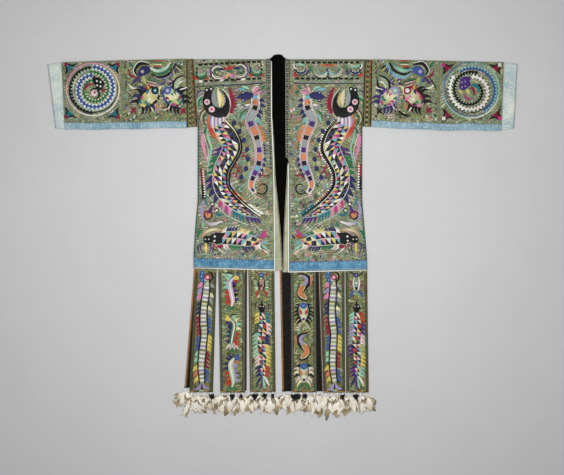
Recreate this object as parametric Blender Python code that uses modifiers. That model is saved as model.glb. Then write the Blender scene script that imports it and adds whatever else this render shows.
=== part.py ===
# Festival jacket with strip tails and feather fringe, laid out flat, face up.
#
# X runs across the garment from cuff to cuff, Y runs up towards the neck, and Z is up from
# the surface that it lies on. The origin is under the middle of the whole outline.
# "right" and "left" are the wearer's: the right side of the garment is at negative X.
# The tables are in millimetres and are turned into metres as the points are made.

import math
from collections import namedtuple

import bmesh
import bpy

MM = 0.001

# Walls and seams
SEAM_GAP = 0.3  # between pieces that are sewn or laid together
BACK_WALL = 1.6
LINING_WALL = 1.0
FRONT_WALL = 2.2
SLEEVE_WALL = 1.5
PATCH_WALL = 1.1  # embroidered squares, friezes and bands laid on a panel
TAIL_WALL = 1.4
FACING_WALL = 1.2
SLEEVE_THICKNESS = 5.2  # of the flattened tube, fold to fold
PIPING_RADIUS = 1.6

# Levels of the layers that lie on each other
LINING_LEVEL = BACK_WALL + SEAM_GAP
ON_LINING = LINING_LEVEL + LINING_WALL + SEAM_GAP
BACK_TAIL_TUCK = LINING_LEVEL
FRONT_TAIL_TUCK = BACK_TAIL_TUCK + TAIL_WALL + SEAM_GAP
ON_TAILS = FRONT_TAIL_TUCK + TAIL_WALL + SEAM_GAP
FRONT_TAIL_REST = TAIL_WALL + 0.4

# Lines across the body, as heights above the origin
SHOULDER_Y = 526.5
YOKE_FOOT_Y = 452
NECK_TOP_Y = 541.5
NECK_MIDDLE = -13.8
NECK_HALF_WIDTH = 20.6  # of the neck stand between the fronts
CROWN_HALF_WIDTH = 25  # of the neck stand above the shoulders
NECK_BUMP = 30  # half the width over which the back rises behind the neck stand
LINING_TOP_Y = 498.5  # the neck stand starts above it
LINING_FOOT_Y = -78
LINING_INSET = 28
TUCK_Y = -93  # how far up the tails reach under the hem
EDGE_FALL = 26  # width over which a front comes down to the back at its side and shoulder
HEM_RISE = 40  # height over which a front climbs onto the tails
TAIL_FALL = 45  # length over which a tail comes down from under the hem

Edge = namedtuple("Edge", "y x")
Half = namedtuple("Half", "name side outline front_edge facing_edge hem band_foot piping_top")
Station = namedtuple("Station", "top_x top_y under_x under_y")
Fold = namedtuple("Fold", "x0 y0 x1 y1 width height")
Tail = namedtuple("Tail", "name top_left top_right foot_left foot_right foot_y rest")
Fringe = namedtuple("Fringe", "name tail first_x last_x tassels")

# Outlines of the body, from the shoulder down to the hem
SIDE_RIGHT = [
    Edge(528.3, -268.2), Edge(324, -254.7), Edge(104, -254.5), Edge(26, -262), Edge(-62, -267), Edge(-112, -265),
]
SIDE_LEFT = [
    Edge(526.8, 245.7), Edge(325.5, 239.7), Edge(104, 239.2), Edge(26, 246), Edge(-46, 252), Edge(-112, 255.5),
]
FRONT_EDGE_RIGHT = [
    Edge(526, -35.4), Edge(352, -34.8), Edge(253, -30.5), Edge(163, -27.6), Edge(-112, -25.2),
]
FRONT_EDGE_LEFT = [
    Edge(526, 7.8), Edge(230, 9), Edge(216, 19.2), Edge(-112, 19.8),
]
FACING_EDGE_RIGHT = [
    Edge(346, -31), Edge(253, -26.6), Edge(163, -20.4), Edge(103, -14), Edge(14, -6), Edge(-82, -0.9), Edge(-112, 0),
]
FACING_EDGE_LEFT = [
    Edge(208, 15.4), Edge(163, 12), Edge(103, 8.4), Edge(14, 4), Edge(-82, 1.4), Edge(-112, 0.7),
]
HEM_RIGHT = [(-268, -96.5), (-25, -103)]
HEM_LEFT = [(19, -109), (256, -103)]
RIGHT = Half("right", -1, SIDE_RIGHT, FRONT_EDGE_RIGHT, FACING_EDGE_RIGHT, HEM_RIGHT, 196, 520)
LEFT = Half("left", 1, SIDE_LEFT, FRONT_EDGE_LEFT, FACING_EDGE_LEFT, HEM_LEFT, 232, 214)
HEM_BAND_HEIGHT = 28.5
NECK_BAND_WIDTH = (13.5, 7.5)  # at the neck and at the foot
BAND_INSET = 1.5  # of what is laid on a front, from the front's sides
FRONT_COLUMNS = 10

# The sleeves from cuff to body: the points on the upper fold and on the underarm fold
SLEEVE_RIGHT = [
    Station(-703.5, 511.8, -679.5, 320.5),
    Station(-662, 516.3, -652, 317),
    Station(-482, 522.3, -480, 318.3),
    Station(-288, 526.8, -287.4, 322.8),
    Station(-268.5, 528.3, -255, 324.3),
]
SLEEVE_LEFT = [
    Station(703.5, 513.3, 693, 318.3),
    Station(663, 516.3, 655.5, 313.8),
    Station(469.2, 520.8, 469.5, 315.3),
    Station(269.4, 525.3, 265.5, 324.3),
    Station(246, 526.8, 240, 325.8),
]
CUFF_END, CUFF_SEAM, PANEL_SEAM, BAND_SEAM, BODY_SEAM = range(5)

# Places across the sleeve, as shares of the way from the upper fold to the underarm fold
OVER_SLEEVE = [0, 0.011, 0.021, 0.1, 0.24, 0.38, 0.52, 0.66, 0.8, 0.9, 0.979, 0.989, 1]
UNDER_SLEEVE = [0.989, 0.979, 0.66, 0.33, 0.021, 0.011]
SQUARE_ROWS = [0.003, 0.011, 0.021, 0.1, 0.24, 0.38, 0.52, 0.66, 0.8, 0.8992]
STRIP_ROWS = [0.9008, 0.979, 0.989, 0.996]
SLEEVE_WAVE = 1.1  # how far the underarm fold wanders
SLEEVE_WAVE_LENGTH = 21  # for each radian of the wave
STATION_STEP = 33

# The largest folds that stand up in the cloth
FRONT_FOLDS = [
    Fold(-235, 250, -205, -20, 26, 1.3),
    Fold(-90, 420, -60, 190, 30, 1.0),
    Fold(-150, 60, -95, -40, 24, 1.2),
    Fold(210, 240, 190, 10, 26, 1.3),
    Fold(60, 400, 75, 170, 30, 1.0),
    Fold(120, 90, 150, -35, 24, 1.1),
]
SLEEVE_FOLDS = [
    Fold(-640, 470, -560, 360, 26, 1.0),
    Fold(-420, 500, -350, 380, 30, 1.1),
    Fold(630, 480, 560, 370, 26, 1.0),
    Fold(420, 490, 340, 370, 30, 1.1),
    Fold(-690, 470, -665, 350, 16, 0.9),
    Fold(690, 480, 672, 350, 16, 0.9),
]

# Tails, numbered from the garment's right to its left
FRONT_TAILS = [
    Tail("tail_front_1", -260, -197, -279, -208, -470.7, FRONT_TAIL_REST),
    Tail("tail_front_2", -193, -111, -187, -111.6, -471.6, FRONT_TAIL_REST),
    Tail("tail_front_3", -102.5, -24.5, -97.8, -20.4, -470, FRONT_TAIL_REST),
    Tail("tail_front_4", 24, 100.5, 26.4, 102.6, -470.7, FRONT_TAIL_REST),
    Tail("tail_front_5", 110, 186, 122.5, 188.4, -472.2, 0),
    Tail("tail_front_6", 188.2, 253.5, 190.8, 258.6, -471.6, FRONT_TAIL_REST),
]
BACK_TAILS = [
    Tail("tail_back_1", -264.5, -204, -294, -225, -458, 0),
    Tail("tail_back_2", -177, -106, -177, -107.5, -466, 0),
    Tail("tail_back_3", -99, -33, -93, -27, -466, 0),
    Tail("tail_back_4", -8.4, 45, -1.2, 51, -469, 0),
    Tail("tail_back_5", 48, 108.6, 57, 121.2, -469, 0),
    Tail("tail_back_6", 192, 250, 194, 253, -466, 0),
]
TAIL_RIPPLE = 0.5
TAIL_ROWS = 12

# Heights of the rows of points in the back and the fronts, between the hem and the shoulder
BODY_ROWS = [-78, -58, -38, -15, 12, 45, 80, 104, 140, 178, 216, 253, 290, 323.8, 352, 386, 420, 452, 478, 500, 513]

# Feather tassels along the foot of a tail, from the first to the last, evenly spaced
FRINGES = [
    Fringe(f"feather_fringe_{i + 1}", tail, tail.foot_left + 7.5, tail.foot_right - 7.5, 4)
    for i, tail in enumerate(FRONT_TAILS)
]
FRINGES.append(Fringe("feather_fringe_back_1", BACK_TAILS[0], -290, -290, 1))
FRINGES.append(Fringe("feather_fringe_back_4", BACK_TAILS[3], 5, 5, 1))
TASSEL_LEAN = 10 / 270  # degrees that a tassel leans out by, for each millimetre from the middle of the garment
BACKING_DEPTH = 3
BACKING_HEIGHT = 1.8
STRING_LENGTH = 13
STRING_WIDTH = 2
HEAD_WIDTH = 9
HEAD_LENGTH = 5
HEAD_HEIGHT = 4
HEAD_LEVEL = 0.9
LOCKS = 5
LOCK_LENGTH = 46.6
LOCK_FAN = 5.5  # degrees to each side of the tassel's own direction
LOCK_WIDTH = 3.8
LOCK_THICKNESS = 1.5
LOCK_TIP = (1.6, 0.8)  # width and thickness
LOCK_WIDEST = 0.7  # the share of its length at which a lock is widest
LOCK_STEP = 3  # how much shorter each lock is than its neighbour nearer the middle
UPPER_LOCK_RISE = (0.6, -0.8)  # of the locks of the upper row, up to where they are widest and on to their tips
LOWER_LOCK_RISE = (0.05, -0.1)

COLOURS = {
    "indigo_back": ((0.035, 0.04, 0.05), 0.85),
    "black_lining": ((0.012, 0.014, 0.010), 0.9),
    "black_collar": ((0.010, 0.011, 0.010), 0.85),
    "silk_ground": ((0.36, 0.37, 0.25), 0.7),
    "frieze": ((0.38, 0.40, 0.27), 0.7),
    "brown_braid": ((0.20, 0.14, 0.08), 0.75),
    "teal_binding": ((0.16, 0.22, 0.19), 0.75),
    "sage_facing": ((0.46, 0.50, 0.40), 0.85),
    "white_piping": ((0.78, 0.82, 0.74), 0.8),
    "blue_hem": ((0.16, 0.36, 0.50), 0.85),
    "sleeve_cloth": ((0.26, 0.28, 0.20), 0.8),
    "pale_blue_cuff": ((0.50, 0.60, 0.60), 0.9),
    "underarm_blue": ((0.28, 0.48, 0.60), 0.85),
    "tail_cloth": ((0.30, 0.30, 0.18), 0.75),
    "tail_black": ((0.020, 0.018, 0.020), 0.85),
    "feather": ((0.82, 0.79, 0.70), 0.6),
}


def clear_scene():
    for old in list(bpy.data.objects):
        bpy.data.objects.remove(old)


def make_material(name):
    colour, roughness = COLOURS[name]
    material = bpy.data.materials.new(name)
    material.use_nodes = True
    shader = material.node_tree.nodes["Principled BSDF"]
    shader.inputs["Base Color"].default_value = (*colour, 1)
    shader.inputs["Roughness"].default_value = roughness
    shader.inputs["Metallic"].default_value = 0
    return material


def ease(share):
    share = min(max(share, 0), 1)
    return share * share * (3 - 2 * share)


def edge_x(table, y):
    """The x of an outline at a height, straight between the rows of its table."""
    if y >= table[0].y:
        return table[0].x
    for upper, lower in zip(table, table[1:]):
        if y >= lower.y:
            share = (upper.y - y) / (upper.y - lower.y)
            return upper.x + (lower.x - upper.x) * share
    return table[-1].x


def side_x(half, y):
    """The side of the body at a height, drawn in by the seam."""
    return edge_x(half.outline, y) - half.side * SEAM_GAP


def hem_y(half, x):
    (x0, y0), (x1, y1) = half.hem
    return y0 + (y1 - y0) * (x - x0) / (x1 - x0)


def fold_height(folds, x, y):
    """Height of the soft ridges at a point, highest in the middle of each ridge's length."""
    total = 0
    for fold in folds:
        dx, dy = fold.x1 - fold.x0, fold.y1 - fold.y0
        along = ((x - fold.x0) * dx + (y - fold.y0) * dy) / (dx * dx + dy * dy)
        aside = abs((x - fold.x0) * dy - (y - fold.y0) * dx) / math.hypot(dx, dy)
        length_share = ease(1 - abs(2 * along - 1)) if 0 < along < 1 else 0
        total += fold.height * length_share * math.exp(-((aside / fold.width) ** 2))
    return total


def add_object(name, mesh, material_name, collection):
    mesh.materials.append(MATERIALS[material_name])
    made = bpy.data.objects.new(name, mesh)
    collection.objects.link(made)
    return made


def solidify(made, wall, offset):
    shell = made.modifiers.new("cloth wall", "SOLIDIFY")
    shell.thickness = wall * MM
    shell.offset = offset
    shell.use_even_offset = True


def add_panel(name, material_name, columns, rows, place, wall):
    """A cloth panel: a grid whose points place(u, v) puts on the panel's underside, thickened upwards."""
    bm = bmesh.new()
    bmesh.ops.create_grid(bm, x_segments=columns, y_segments=rows, size=0.5)
    for vert in bm.verts:
        x, y, z = place(vert.co.x + 0.5, vert.co.y + 0.5)
        vert.co = (x * MM, y * MM, z * MM)
    mesh = bpy.data.meshes.new(name)
    bm.to_mesh(mesh)
    bm.free()
    made = add_object(name, mesh, material_name, PARTS)
    solidify(made, wall, 1)
    return made


def between(low, high, share):
    return low + (high - low) * share


# Body

def body_row(v, foot, top):
    """The height of one row of points of a body panel, v running from its foot to its top."""
    rows = [foot, *BODY_ROWS, top]
    return rows[round(v * (len(rows) - 1))]


def front_underside(half, x, y):
    """Underside of a front: on the lining, down to the back at its outer edges, up onto the tails at the hem."""
    inside = ease(abs(x - side_x(half, y)) / EDGE_FALL) * ease((SHOULDER_Y - y) / EDGE_FALL)
    over_hem = ease((hem_y(half, x) + 2 * HEM_RISE - y) / HEM_RISE)
    flat = between(LINING_LEVEL, ON_LINING, inside)
    return between(flat, ON_TAILS, over_hem) + fold_height(FRONT_FOLDS, x, y) * inside


def front_columns(half, y):
    """The x of every column of a front's points at a height, from low to high."""
    low, high = sorted((side_x(half, y), edge_x(half.front_edge, y)))
    return [between(low, high, i / FRONT_COLUMNS) for i in range(FRONT_COLUMNS + 1)]


def front_top(half, x, y):
    """Top of a front, straight between the points that the front is made of."""
    rows = [hem_y(half, x), *BODY_ROWS, SHOULDER_Y]
    row = max(i for i in range(len(rows) - 1) if rows[i] <= y or i == 0)
    heights = []
    for level in rows[row:row + 2]:
        columns = front_columns(half, level)
        column = max(i for i in range(FRONT_COLUMNS) if columns[i] <= x or i == 0)
        start, end = columns[column:column + 2]
        share = (x - start) / (end - start)
        heights.append(between(front_underside(half, start, level), front_underside(half, end, level), share))
    share = (y - rows[row]) / (rows[row + 1] - rows[row])
    return between(*heights, share) + FRONT_WALL


def add_back():
    def place(u, v):
        low_y = between(hem_y(RIGHT, -265), hem_y(LEFT, 255), u)
        neck = ease(1 - abs(between(SIDE_RIGHT[0].x, SIDE_LEFT[0].x, u) - NECK_MIDDLE) / NECK_BUMP)
        y = body_row(v, low_y, SHOULDER_Y + (NECK_TOP_Y - SHOULDER_Y - 2) * neck)
        return between(side_x(RIGHT, y), side_x(LEFT, y), u), y, 0

    add_panel("back", "indigo_back", 24, len(BODY_ROWS) + 1, place, BACK_WALL)


def add_lining():
    def place(u, v):
        y = between(LINING_FOOT_Y, LINING_TOP_Y, v)
        x = between(side_x(RIGHT, y) + LINING_INSET, side_x(LEFT, y) - LINING_INSET, u)
        return x, y, LINING_LEVEL

    add_panel("back_lining", "black_lining", 6, 8, place, LINING_WALL)


def add_neck_stand():
    """The black stand at the back of the neck, in the opening and as a low mound above the shoulders."""
    half_widths = [NECK_HALF_WIDTH] * 3 + [CROWN_HALF_WIDTH]
    foot_y, crown_foot_y = LINING_TOP_Y + SEAM_GAP, SHOULDER_Y + SEAM_GAP
    heights = [foot_y, (foot_y + crown_foot_y) / 2, crown_foot_y + 0.1, crown_foot_y + 0.5]

    def place(u, v):
        row = round(v * len(heights))
        side = 2 * u - 1
        if row < len(heights):
            return NECK_MIDDLE + side * half_widths[row], heights[row], LINING_LEVEL
        crown = between(heights[-1] + 1, NECK_TOP_Y, ease((1 - abs(side)) * 1.5))
        return NECK_MIDDLE + side * half_widths[-1], crown, LINING_LEVEL

    add_panel("neck_stand", "black_collar", 8, len(heights), place, LINING_WALL)


def add_front(half):
    def place(u, v):
        column = round(u * FRONT_COLUMNS)
        x = front_columns(half, body_row(v, BODY_ROWS[0], SHOULDER_Y))[column]
        y = body_row(v, hem_y(half, x), SHOULDER_Y)
        return x, y, front_underside(half, x, y)

    add_panel("front_" + half.name, "silk_ground", FRONT_COLUMNS, len(BODY_ROWS) + 1, place, FRONT_WALL)


def add_on_front(half, name, material_name, heights, edges, across=FRONT_COLUMNS):
    """Cloth laid on a front. heights are its rows, edges(y) its two sides; a wide one keeps the front's columns."""
    def place(u, v):
        y = heights[round(v * (len(heights) - 1))]
        low, high = sorted(edges(y))
        x = between(low, high, u)
        if across == FRONT_COLUMNS:
            x = min(max(front_columns(half, y)[round(u * across)], low), high)
        return x, y, front_top(half, x, y) + SEAM_GAP

    add_panel(name + "_" + half.name, material_name, across, len(heights) - 1, place, PATCH_WALL)


def add_front_bands(half):
    inward = -half.side  # from the side seam towards the front edge
    width_top, width_foot = NECK_BAND_WIDTH

    def neck_edges(y):
        share = ease((y - half.band_foot) / (SHOULDER_Y - half.band_foot))
        inner = edge_x(half.front_edge, y) - inward * 0.4
        return inner, inner - inward * between(width_foot, width_top, share)

    def yoke_edges(y):
        return side_x(half, y) + inward * BAND_INSET, neck_edges(y)[1] - inward * SEAM_GAP * 2

    yoke_rows = [YOKE_FOOT_Y, 478, 500, 513, SHOULDER_Y - 2]
    neck_rows = [half.band_foot, *(y for y in BODY_ROWS if y > half.band_foot + 4), SHOULDER_Y - 1]
    add_on_front(half, "yoke", "frieze", yoke_rows, yoke_edges)
    add_on_front(half, "neck_band", "teal_binding", neck_rows, neck_edges, 1)

    def hem_place(u, v):
        columns = front_columns(half, BODY_ROWS[0])
        columns[0] += BAND_INSET
        columns[-1] -= BAND_INSET
        x = columns[round(u * FRONT_COLUMNS)]
        y = hem_y(half, x) + between(0.6, HEM_BAND_HEIGHT, v)
        return x, y, front_top(half, x, y) + SEAM_GAP

    add_panel("hem_band_" + half.name, "blue_hem", FRONT_COLUMNS, 3, hem_place, PATCH_WALL)


def add_facing(half):
    """The sage strip inside the front edge. It lies on the lining, and on the tails near the hem."""
    beside_piping = 2 * PIPING_RADIUS + 2 * SEAM_GAP
    inward = -half.side
    foot_y = hem_y(half, 0) - 2

    def place(u, v):
        y = between(foot_y, half.facing_edge[0].y, v)
        outer = edge_x(half.front_edge, y) + inward * beside_piping
        inner = edge_x(half.facing_edge, y)
        if inward * (inner - outer) < 1:
            inner = outer + inward
        z = between(ON_LINING, FRONT_TAIL_TUCK, ease((foot_y + 2 * HEM_RISE - y) / HEM_RISE))
        return between(min(outer, inner), max(outer, inner), u), y, z

    add_panel("facing_" + half.name, "sage_facing", 2, 14, place, FACING_WALL)


def add_piping(half):
    """The white cord down the front edge, round the corner and along the hem."""
    inward = -half.side
    clear = PIPING_RADIUS + SEAM_GAP
    corner_x = edge_x(half.front_edge, -100)
    corner_y = hem_y(half, corner_x)
    points = []
    for i in range(16):
        y = between(half.piping_top, corner_y, i / 15)
        x = edge_x(half.front_edge, y)
        points.append((x + inward * clear, y, max(ON_LINING, front_underside(half, x, y)) + PIPING_RADIUS))
    low_z = ON_TAILS + PIPING_RADIUS
    for angle in (30, 60):
        turn = math.radians(angle)
        points.append((corner_x + inward * clear * math.cos(turn), corner_y - clear * math.sin(turn), low_z))
    far_x = side_x(half, -95) + inward * 2
    for i in range(8):
        x = between(corner_x, far_x, i / 7)
        points.append((x, hem_y(half, x) - clear, low_z))
    line = bpy.data.curves.new("piping_" + half.name, "CURVE")
    line.dimensions = "3D"
    line.bevel_depth = PIPING_RADIUS * MM
    line.bevel_resolution = 1
    line.use_fill_caps = True
    spline = line.splines.new("POLY")
    spline.points.add(len(points) - 1)
    for point, place in zip(spline.points, points):
        point.co = (place[0] * MM, place[1] * MM, place[2] * MM, 1)
    line.materials.append(MATERIALS["white_piping"])
    PARTS.objects.link(bpy.data.objects.new("piping_" + half.name, line))


# Sleeves

def sleeve_outline(station, share, grow, under=False):
    """A point on the outside of the flattened tube. share runs from the upper fold to the underarm fold, over the
    top or, with under, below; grow moves the point out, for what is laid on the sleeve."""
    radius = SLEEVE_THICKNESS / 2 + grow
    height = station.top_y - station.under_y + 2 * grow
    length = height - 2 * radius + math.pi * radius
    travelled = share * length
    quarter = math.pi * radius / 2
    if travelled < quarter:
        angle = travelled / radius
        down, up = radius - radius * math.cos(angle), radius * math.sin(angle)
    elif travelled > length - quarter:
        angle = (length - travelled) / radius
        down, up = height - radius + radius * math.cos(angle), radius * math.sin(angle)
    else:
        down, up = radius + travelled - quarter, radius
    y = station.top_y + grow - down
    slant = min(max((station.top_y - y) / (station.top_y - station.under_y), 0), 1)
    x = between(station.top_x, station.under_x, slant)
    if under:
        return x, y, SLEEVE_THICKNESS / 2 - up
    puff = fold_height(SLEEVE_FOLDS, x, y) * ease(4 * share) * ease(4 * (1 - share))
    return x, y, SLEEVE_THICKNESS / 2 + up + puff


def stations_between(table, first, last, inset):
    """Stations from one seam of the sleeve to another, from low x to high, with each end drawn in by inset."""
    made = []
    for number in range(first, last):
        start, end = table[number], table[number + 1]
        steps = max(1, round(abs(end.top_x - start.top_x) / STATION_STEP))
        for i in range(steps + (number == last - 1)):
            made.append([between(a, b, i / steps) for a, b in zip(start, end)])
    direction = math.copysign(1, made[-1][0] - made[0][0])
    for end, sign in ((0, direction), (-1, -direction)):
        made[end][0] += sign * inset
        made[end][2] += sign * inset
    for station in made:
        station[3] += SLEEVE_WAVE * math.sin(station[2] / SLEEVE_WAVE_LENGTH)
    return sorted(Station(*station) for station in made)


def add_tube(name, material_name, stations):
    """A flattened cloth tube through its stations, open at both ends."""
    bm = bmesh.new()
    rings = []
    for station in stations:
        places = [sleeve_outline(station, share, 0) for share in OVER_SLEEVE]
        places += [sleeve_outline(station, share, 0, under=True) for share in UNDER_SLEEVE]
        rings.append([bm.verts.new([c * MM for c in place]) for place in places])
    for ring, following in zip(rings, rings[1:]):
        for i in range(len(ring)):
            j = (i + 1) % len(ring)
            bm.faces.new((ring[i], ring[j], following[j], following[i]))
    mesh = bpy.data.meshes.new(name)
    bm.to_mesh(mesh)
    bm.free()
    solidify(add_object(name, mesh, material_name, PARTS), SLEEVE_WALL, -1)


def add_sleeve_patch(name, material_name, stations, rows):
    """Cloth laid on the upper side of a sleeve, with a row of points at each of these shares of its width."""
    columns, last = len(stations) - 1, len(rows) - 1

    def place(u, v):
        return sleeve_outline(stations[round(u * columns)], rows[last - round(v * last)], SEAM_GAP)

    add_panel(name, material_name, columns, last, place, PATCH_WALL)


def add_sleeve(suffix, table):
    half_gap = SEAM_GAP / 2
    add_tube("cuff_" + suffix, "pale_blue_cuff", stations_between(table, CUFF_END, CUFF_SEAM, half_gap))
    add_tube("sleeve_" + suffix, "sleeve_cloth", stations_between(table, CUFF_SEAM, BAND_SEAM, half_gap))
    add_tube("armhole_band_" + suffix, "brown_braid", stations_between(table, BAND_SEAM, BODY_SEAM, half_gap))
    outer = stations_between(table, CUFF_SEAM, PANEL_SEAM, half_gap)
    inner = stations_between(table, PANEL_SEAM, BAND_SEAM, half_gap)
    whole = stations_between(table, CUFF_SEAM, BAND_SEAM, half_gap)
    add_sleeve_patch("medallion_square_" + suffix, "silk_ground", outer, SQUARE_ROWS)
    add_sleeve_patch("bird_square_" + suffix, "silk_ground", inner, SQUARE_ROWS)
    add_sleeve_patch("underarm_strip_" + suffix, "underarm_blue", whole, STRIP_ROWS)


# Tails and fringe

def add_tail(tail, tuck_level, material_name):
    columns = 2

    def place(u, v):
        y = between(tail.foot_y, TUCK_Y, v)
        left = between(tail.foot_left, tail.top_left, v)
        right = between(tail.foot_right, tail.top_right, v)
        below_hem = ease((TUCK_Y - 14 - y) / TAIL_FALL)
        ripple = TAIL_RIPPLE * math.sin(y / 31 + tail.top_left) ** 2 * (tail.rest > 0)
        ripple *= ease((y - tail.foot_y) / 60)
        z = between(tuck_level, tail.rest + ripple, below_hem)
        return between(left, right, u), y, z

    add_panel(tail.name, material_name, columns, TAIL_ROWS, place, TAIL_WALL)


def end_face(bm, x):
    """The lowest face, in plan, at a place across the garment: the one that points down the garment."""
    facing = [f for f in bm.faces if f.normal.y < -0.9 and abs(f.calc_center_median().x - x * MM) < STRING_WIDTH * MM]
    return min(facing, key=lambda f: f.calc_center_median().y)


def grow_face(bm, face, move, width, height):
    """Extrudes one face by move and gives its new end this width and height. All in millimetres."""
    new = bmesh.ops.extrude_discrete_faces(bm, faces=[face])["faces"][0]
    middle = new.calc_center_median()
    old_width = max(v.co.x for v in new.verts) - min(v.co.x for v in new.verts)
    old_height = max(v.co.z for v in new.verts) - min(v.co.z for v in new.verts)
    for vert in new.verts:
        vert.co.x = middle.x + (vert.co.x - middle.x) * width * MM / old_width + move[0] * MM
        vert.co.z = middle.z + (vert.co.z - middle.z) * height * MM / old_height + move[2] * MM
        vert.co.y += move[1] * MM
    bm.normal_update()
    return new


def split_head(bm, head):
    """Cuts the end of a tassel's head into a checkerboard of two rows and returns the cells that locks grow from."""
    middle = head.calc_center_median().copy()
    cells = [head]
    cuts = [((0, 0, 1), middle.z)]
    cuts += [((1, 0, 0), middle.x + HEAD_WIDTH * MM * (i / LOCKS - 0.5)) for i in range(1, LOCKS)]
    for normal, value in cuts:
        place = (value, middle.y, middle.z) if normal[0] else (middle.x, middle.y, value)
        geometry = set(cells)
        for cell in cells:
            geometry.update(cell.edges, cell.verts)
        found = bmesh.ops.bisect_plane(bm, geom=list(geometry), plane_co=place, plane_no=normal)
        cells = [g for g in found["geom"] if isinstance(g, bmesh.types.BMFace)]
    chosen = []
    for cell in cells:
        centre = cell.calc_center_median()
        column = int((centre.x - middle.x) / (HEAD_WIDTH * MM) * LOCKS + LOCKS / 2)
        upper = centre.z > middle.z
        if column % 2 == (0 if upper else 1):
            chosen.append((column, upper, cell))
    return sorted(chosen, key=lambda row: row[:2])


def add_locks(bm, head, lean):
    for column, upper, cell in split_head(bm, head):
        bm.normal_update()
        angle = math.radians(lean + between(-LOCK_FAN, LOCK_FAN, column / (LOCKS - 1)))
        length = LOCK_LENGTH - LOCK_STEP * abs(column - (LOCKS - 1) / 2)
        wide_at = LOCK_WIDEST * LOCK_LENGTH
        rise, fall = UPPER_LOCK_RISE if upper else LOWER_LOCK_RISE
        move = (wide_at * math.sin(angle), -wide_at * math.cos(angle), rise)
        wide = grow_face(bm, cell, move, LOCK_WIDTH, LOCK_THICKNESS)
        rest = length - wide_at
        grow_face(bm, wide, (rest * math.sin(angle), -rest * math.cos(angle), fall), *LOCK_TIP)


def add_fringe(fringe):
    tail, last = fringe.tail, fringe.tassels - 1
    places = [between(fringe.first_x, fringe.last_x, i / last if last else 0) for i in range(fringe.tassels)]
    left, right = fringe.first_x - 6, fringe.last_x + 6
    level = max(HEAD_LEVEL, tail.rest - 0.4)
    top_y = tail.foot_y - SEAM_GAP
    bm = bmesh.new()
    bmesh.ops.create_cube(bm, size=1)
    for vert in bm.verts:
        vert.co.x = between(left, right, vert.co.x + 0.5) * MM
        vert.co.y = (top_y + (vert.co.y - 0.5) * BACKING_DEPTH) * MM
        vert.co.z = (level + (vert.co.z + 0.5) * BACKING_HEIGHT) * MM
    for x in places:
        for edge in (x - STRING_WIDTH / 2, x + STRING_WIDTH / 2):
            whole = bm.verts[:] + bm.edges[:] + bm.faces[:]
            bmesh.ops.bisect_plane(bm, geom=whole, plane_co=(edge * MM, 0, 0), plane_no=(1, 0, 0))
    drop = HEAD_LEVEL + HEAD_HEIGHT / 2 - level - BACKING_HEIGHT / 2
    for x in places:
        lean = math.radians(TASSEL_LEAN * x)
        step = (math.sin(lean) * STRING_LENGTH, -math.cos(lean) * STRING_LENGTH, drop)
        string = grow_face(bm, end_face(bm, x), step, STRING_WIDTH, BACKING_HEIGHT)
        neck = grow_face(bm, string, (0, -1.5, 0), HEAD_WIDTH, HEAD_HEIGHT)
        head = grow_face(bm, neck, (0, -HEAD_LENGTH, 0), HEAD_WIDTH, HEAD_HEIGHT)
        add_locks(bm, head, TASSEL_LEAN * x)
    bmesh.ops.recalc_face_normals(bm, faces=bm.faces)
    mesh = bpy.data.meshes.new(fringe.name)
    bm.to_mesh(mesh)
    bm.free()
    add_object(fringe.name, mesh, "feather", PARTS)


clear_scene()
MATERIALS = {name: make_material(name) for name in COLOURS}
PARTS = bpy.data.collections.new("festival_jacket")
bpy.context.scene.collection.children.link(PARTS)

add_back()
add_lining()
add_neck_stand()
for half in (RIGHT, LEFT):
    add_front(half)
    add_front_bands(half)
    add_facing(half)
    add_piping(half)
add_sleeve("right", SLEEVE_RIGHT)
add_sleeve("left", SLEEVE_LEFT)
for tail in BACK_TAILS:
    add_tail(tail, BACK_TAIL_TUCK, "tail_black")
for tail in FRONT_TAILS:
    add_tail(tail, FRONT_TAIL_TUCK, "tail_cloth")
for fringe in FRINGES:
    add_fringe(fringe)
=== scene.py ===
# Festival jacket laid out flat: its cloth, embroidery, trims, seeds and feathers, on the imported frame.
# Lengths in the settings below are millimetres, and colours are display values from 0 to 255.
import math
import random

import bmesh
import bpy
import numpy as np
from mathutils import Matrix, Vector
from mathutils.bvhtree import BVHTree
from mathutils.kdtree import KDTree


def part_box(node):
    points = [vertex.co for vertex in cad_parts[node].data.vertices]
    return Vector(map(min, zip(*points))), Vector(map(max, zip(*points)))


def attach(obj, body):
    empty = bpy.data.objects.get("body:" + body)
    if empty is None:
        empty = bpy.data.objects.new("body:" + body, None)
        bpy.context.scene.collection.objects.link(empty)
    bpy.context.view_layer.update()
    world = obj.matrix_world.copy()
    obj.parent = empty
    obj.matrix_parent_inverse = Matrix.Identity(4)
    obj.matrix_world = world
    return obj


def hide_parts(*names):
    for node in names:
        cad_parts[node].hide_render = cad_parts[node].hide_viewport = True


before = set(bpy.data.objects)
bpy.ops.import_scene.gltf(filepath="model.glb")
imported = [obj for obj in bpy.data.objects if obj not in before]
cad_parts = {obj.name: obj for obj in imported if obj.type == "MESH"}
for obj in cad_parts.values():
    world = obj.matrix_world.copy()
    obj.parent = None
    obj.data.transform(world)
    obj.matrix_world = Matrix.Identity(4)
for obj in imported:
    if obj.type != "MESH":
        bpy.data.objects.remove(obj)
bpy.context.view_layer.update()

mm = 0.001
halves = ("right", "left")


def tone(red, green, blue):
    # display value to the linear value that a shader wants
    def straighten(value):
        share = value / 255
        return share / 12.92 if share < 0.04045 else ((share + 0.055) / 1.055) ** 2.4
    return (straighten(red), straighten(green), straighten(blue), 1)


# materials

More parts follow.
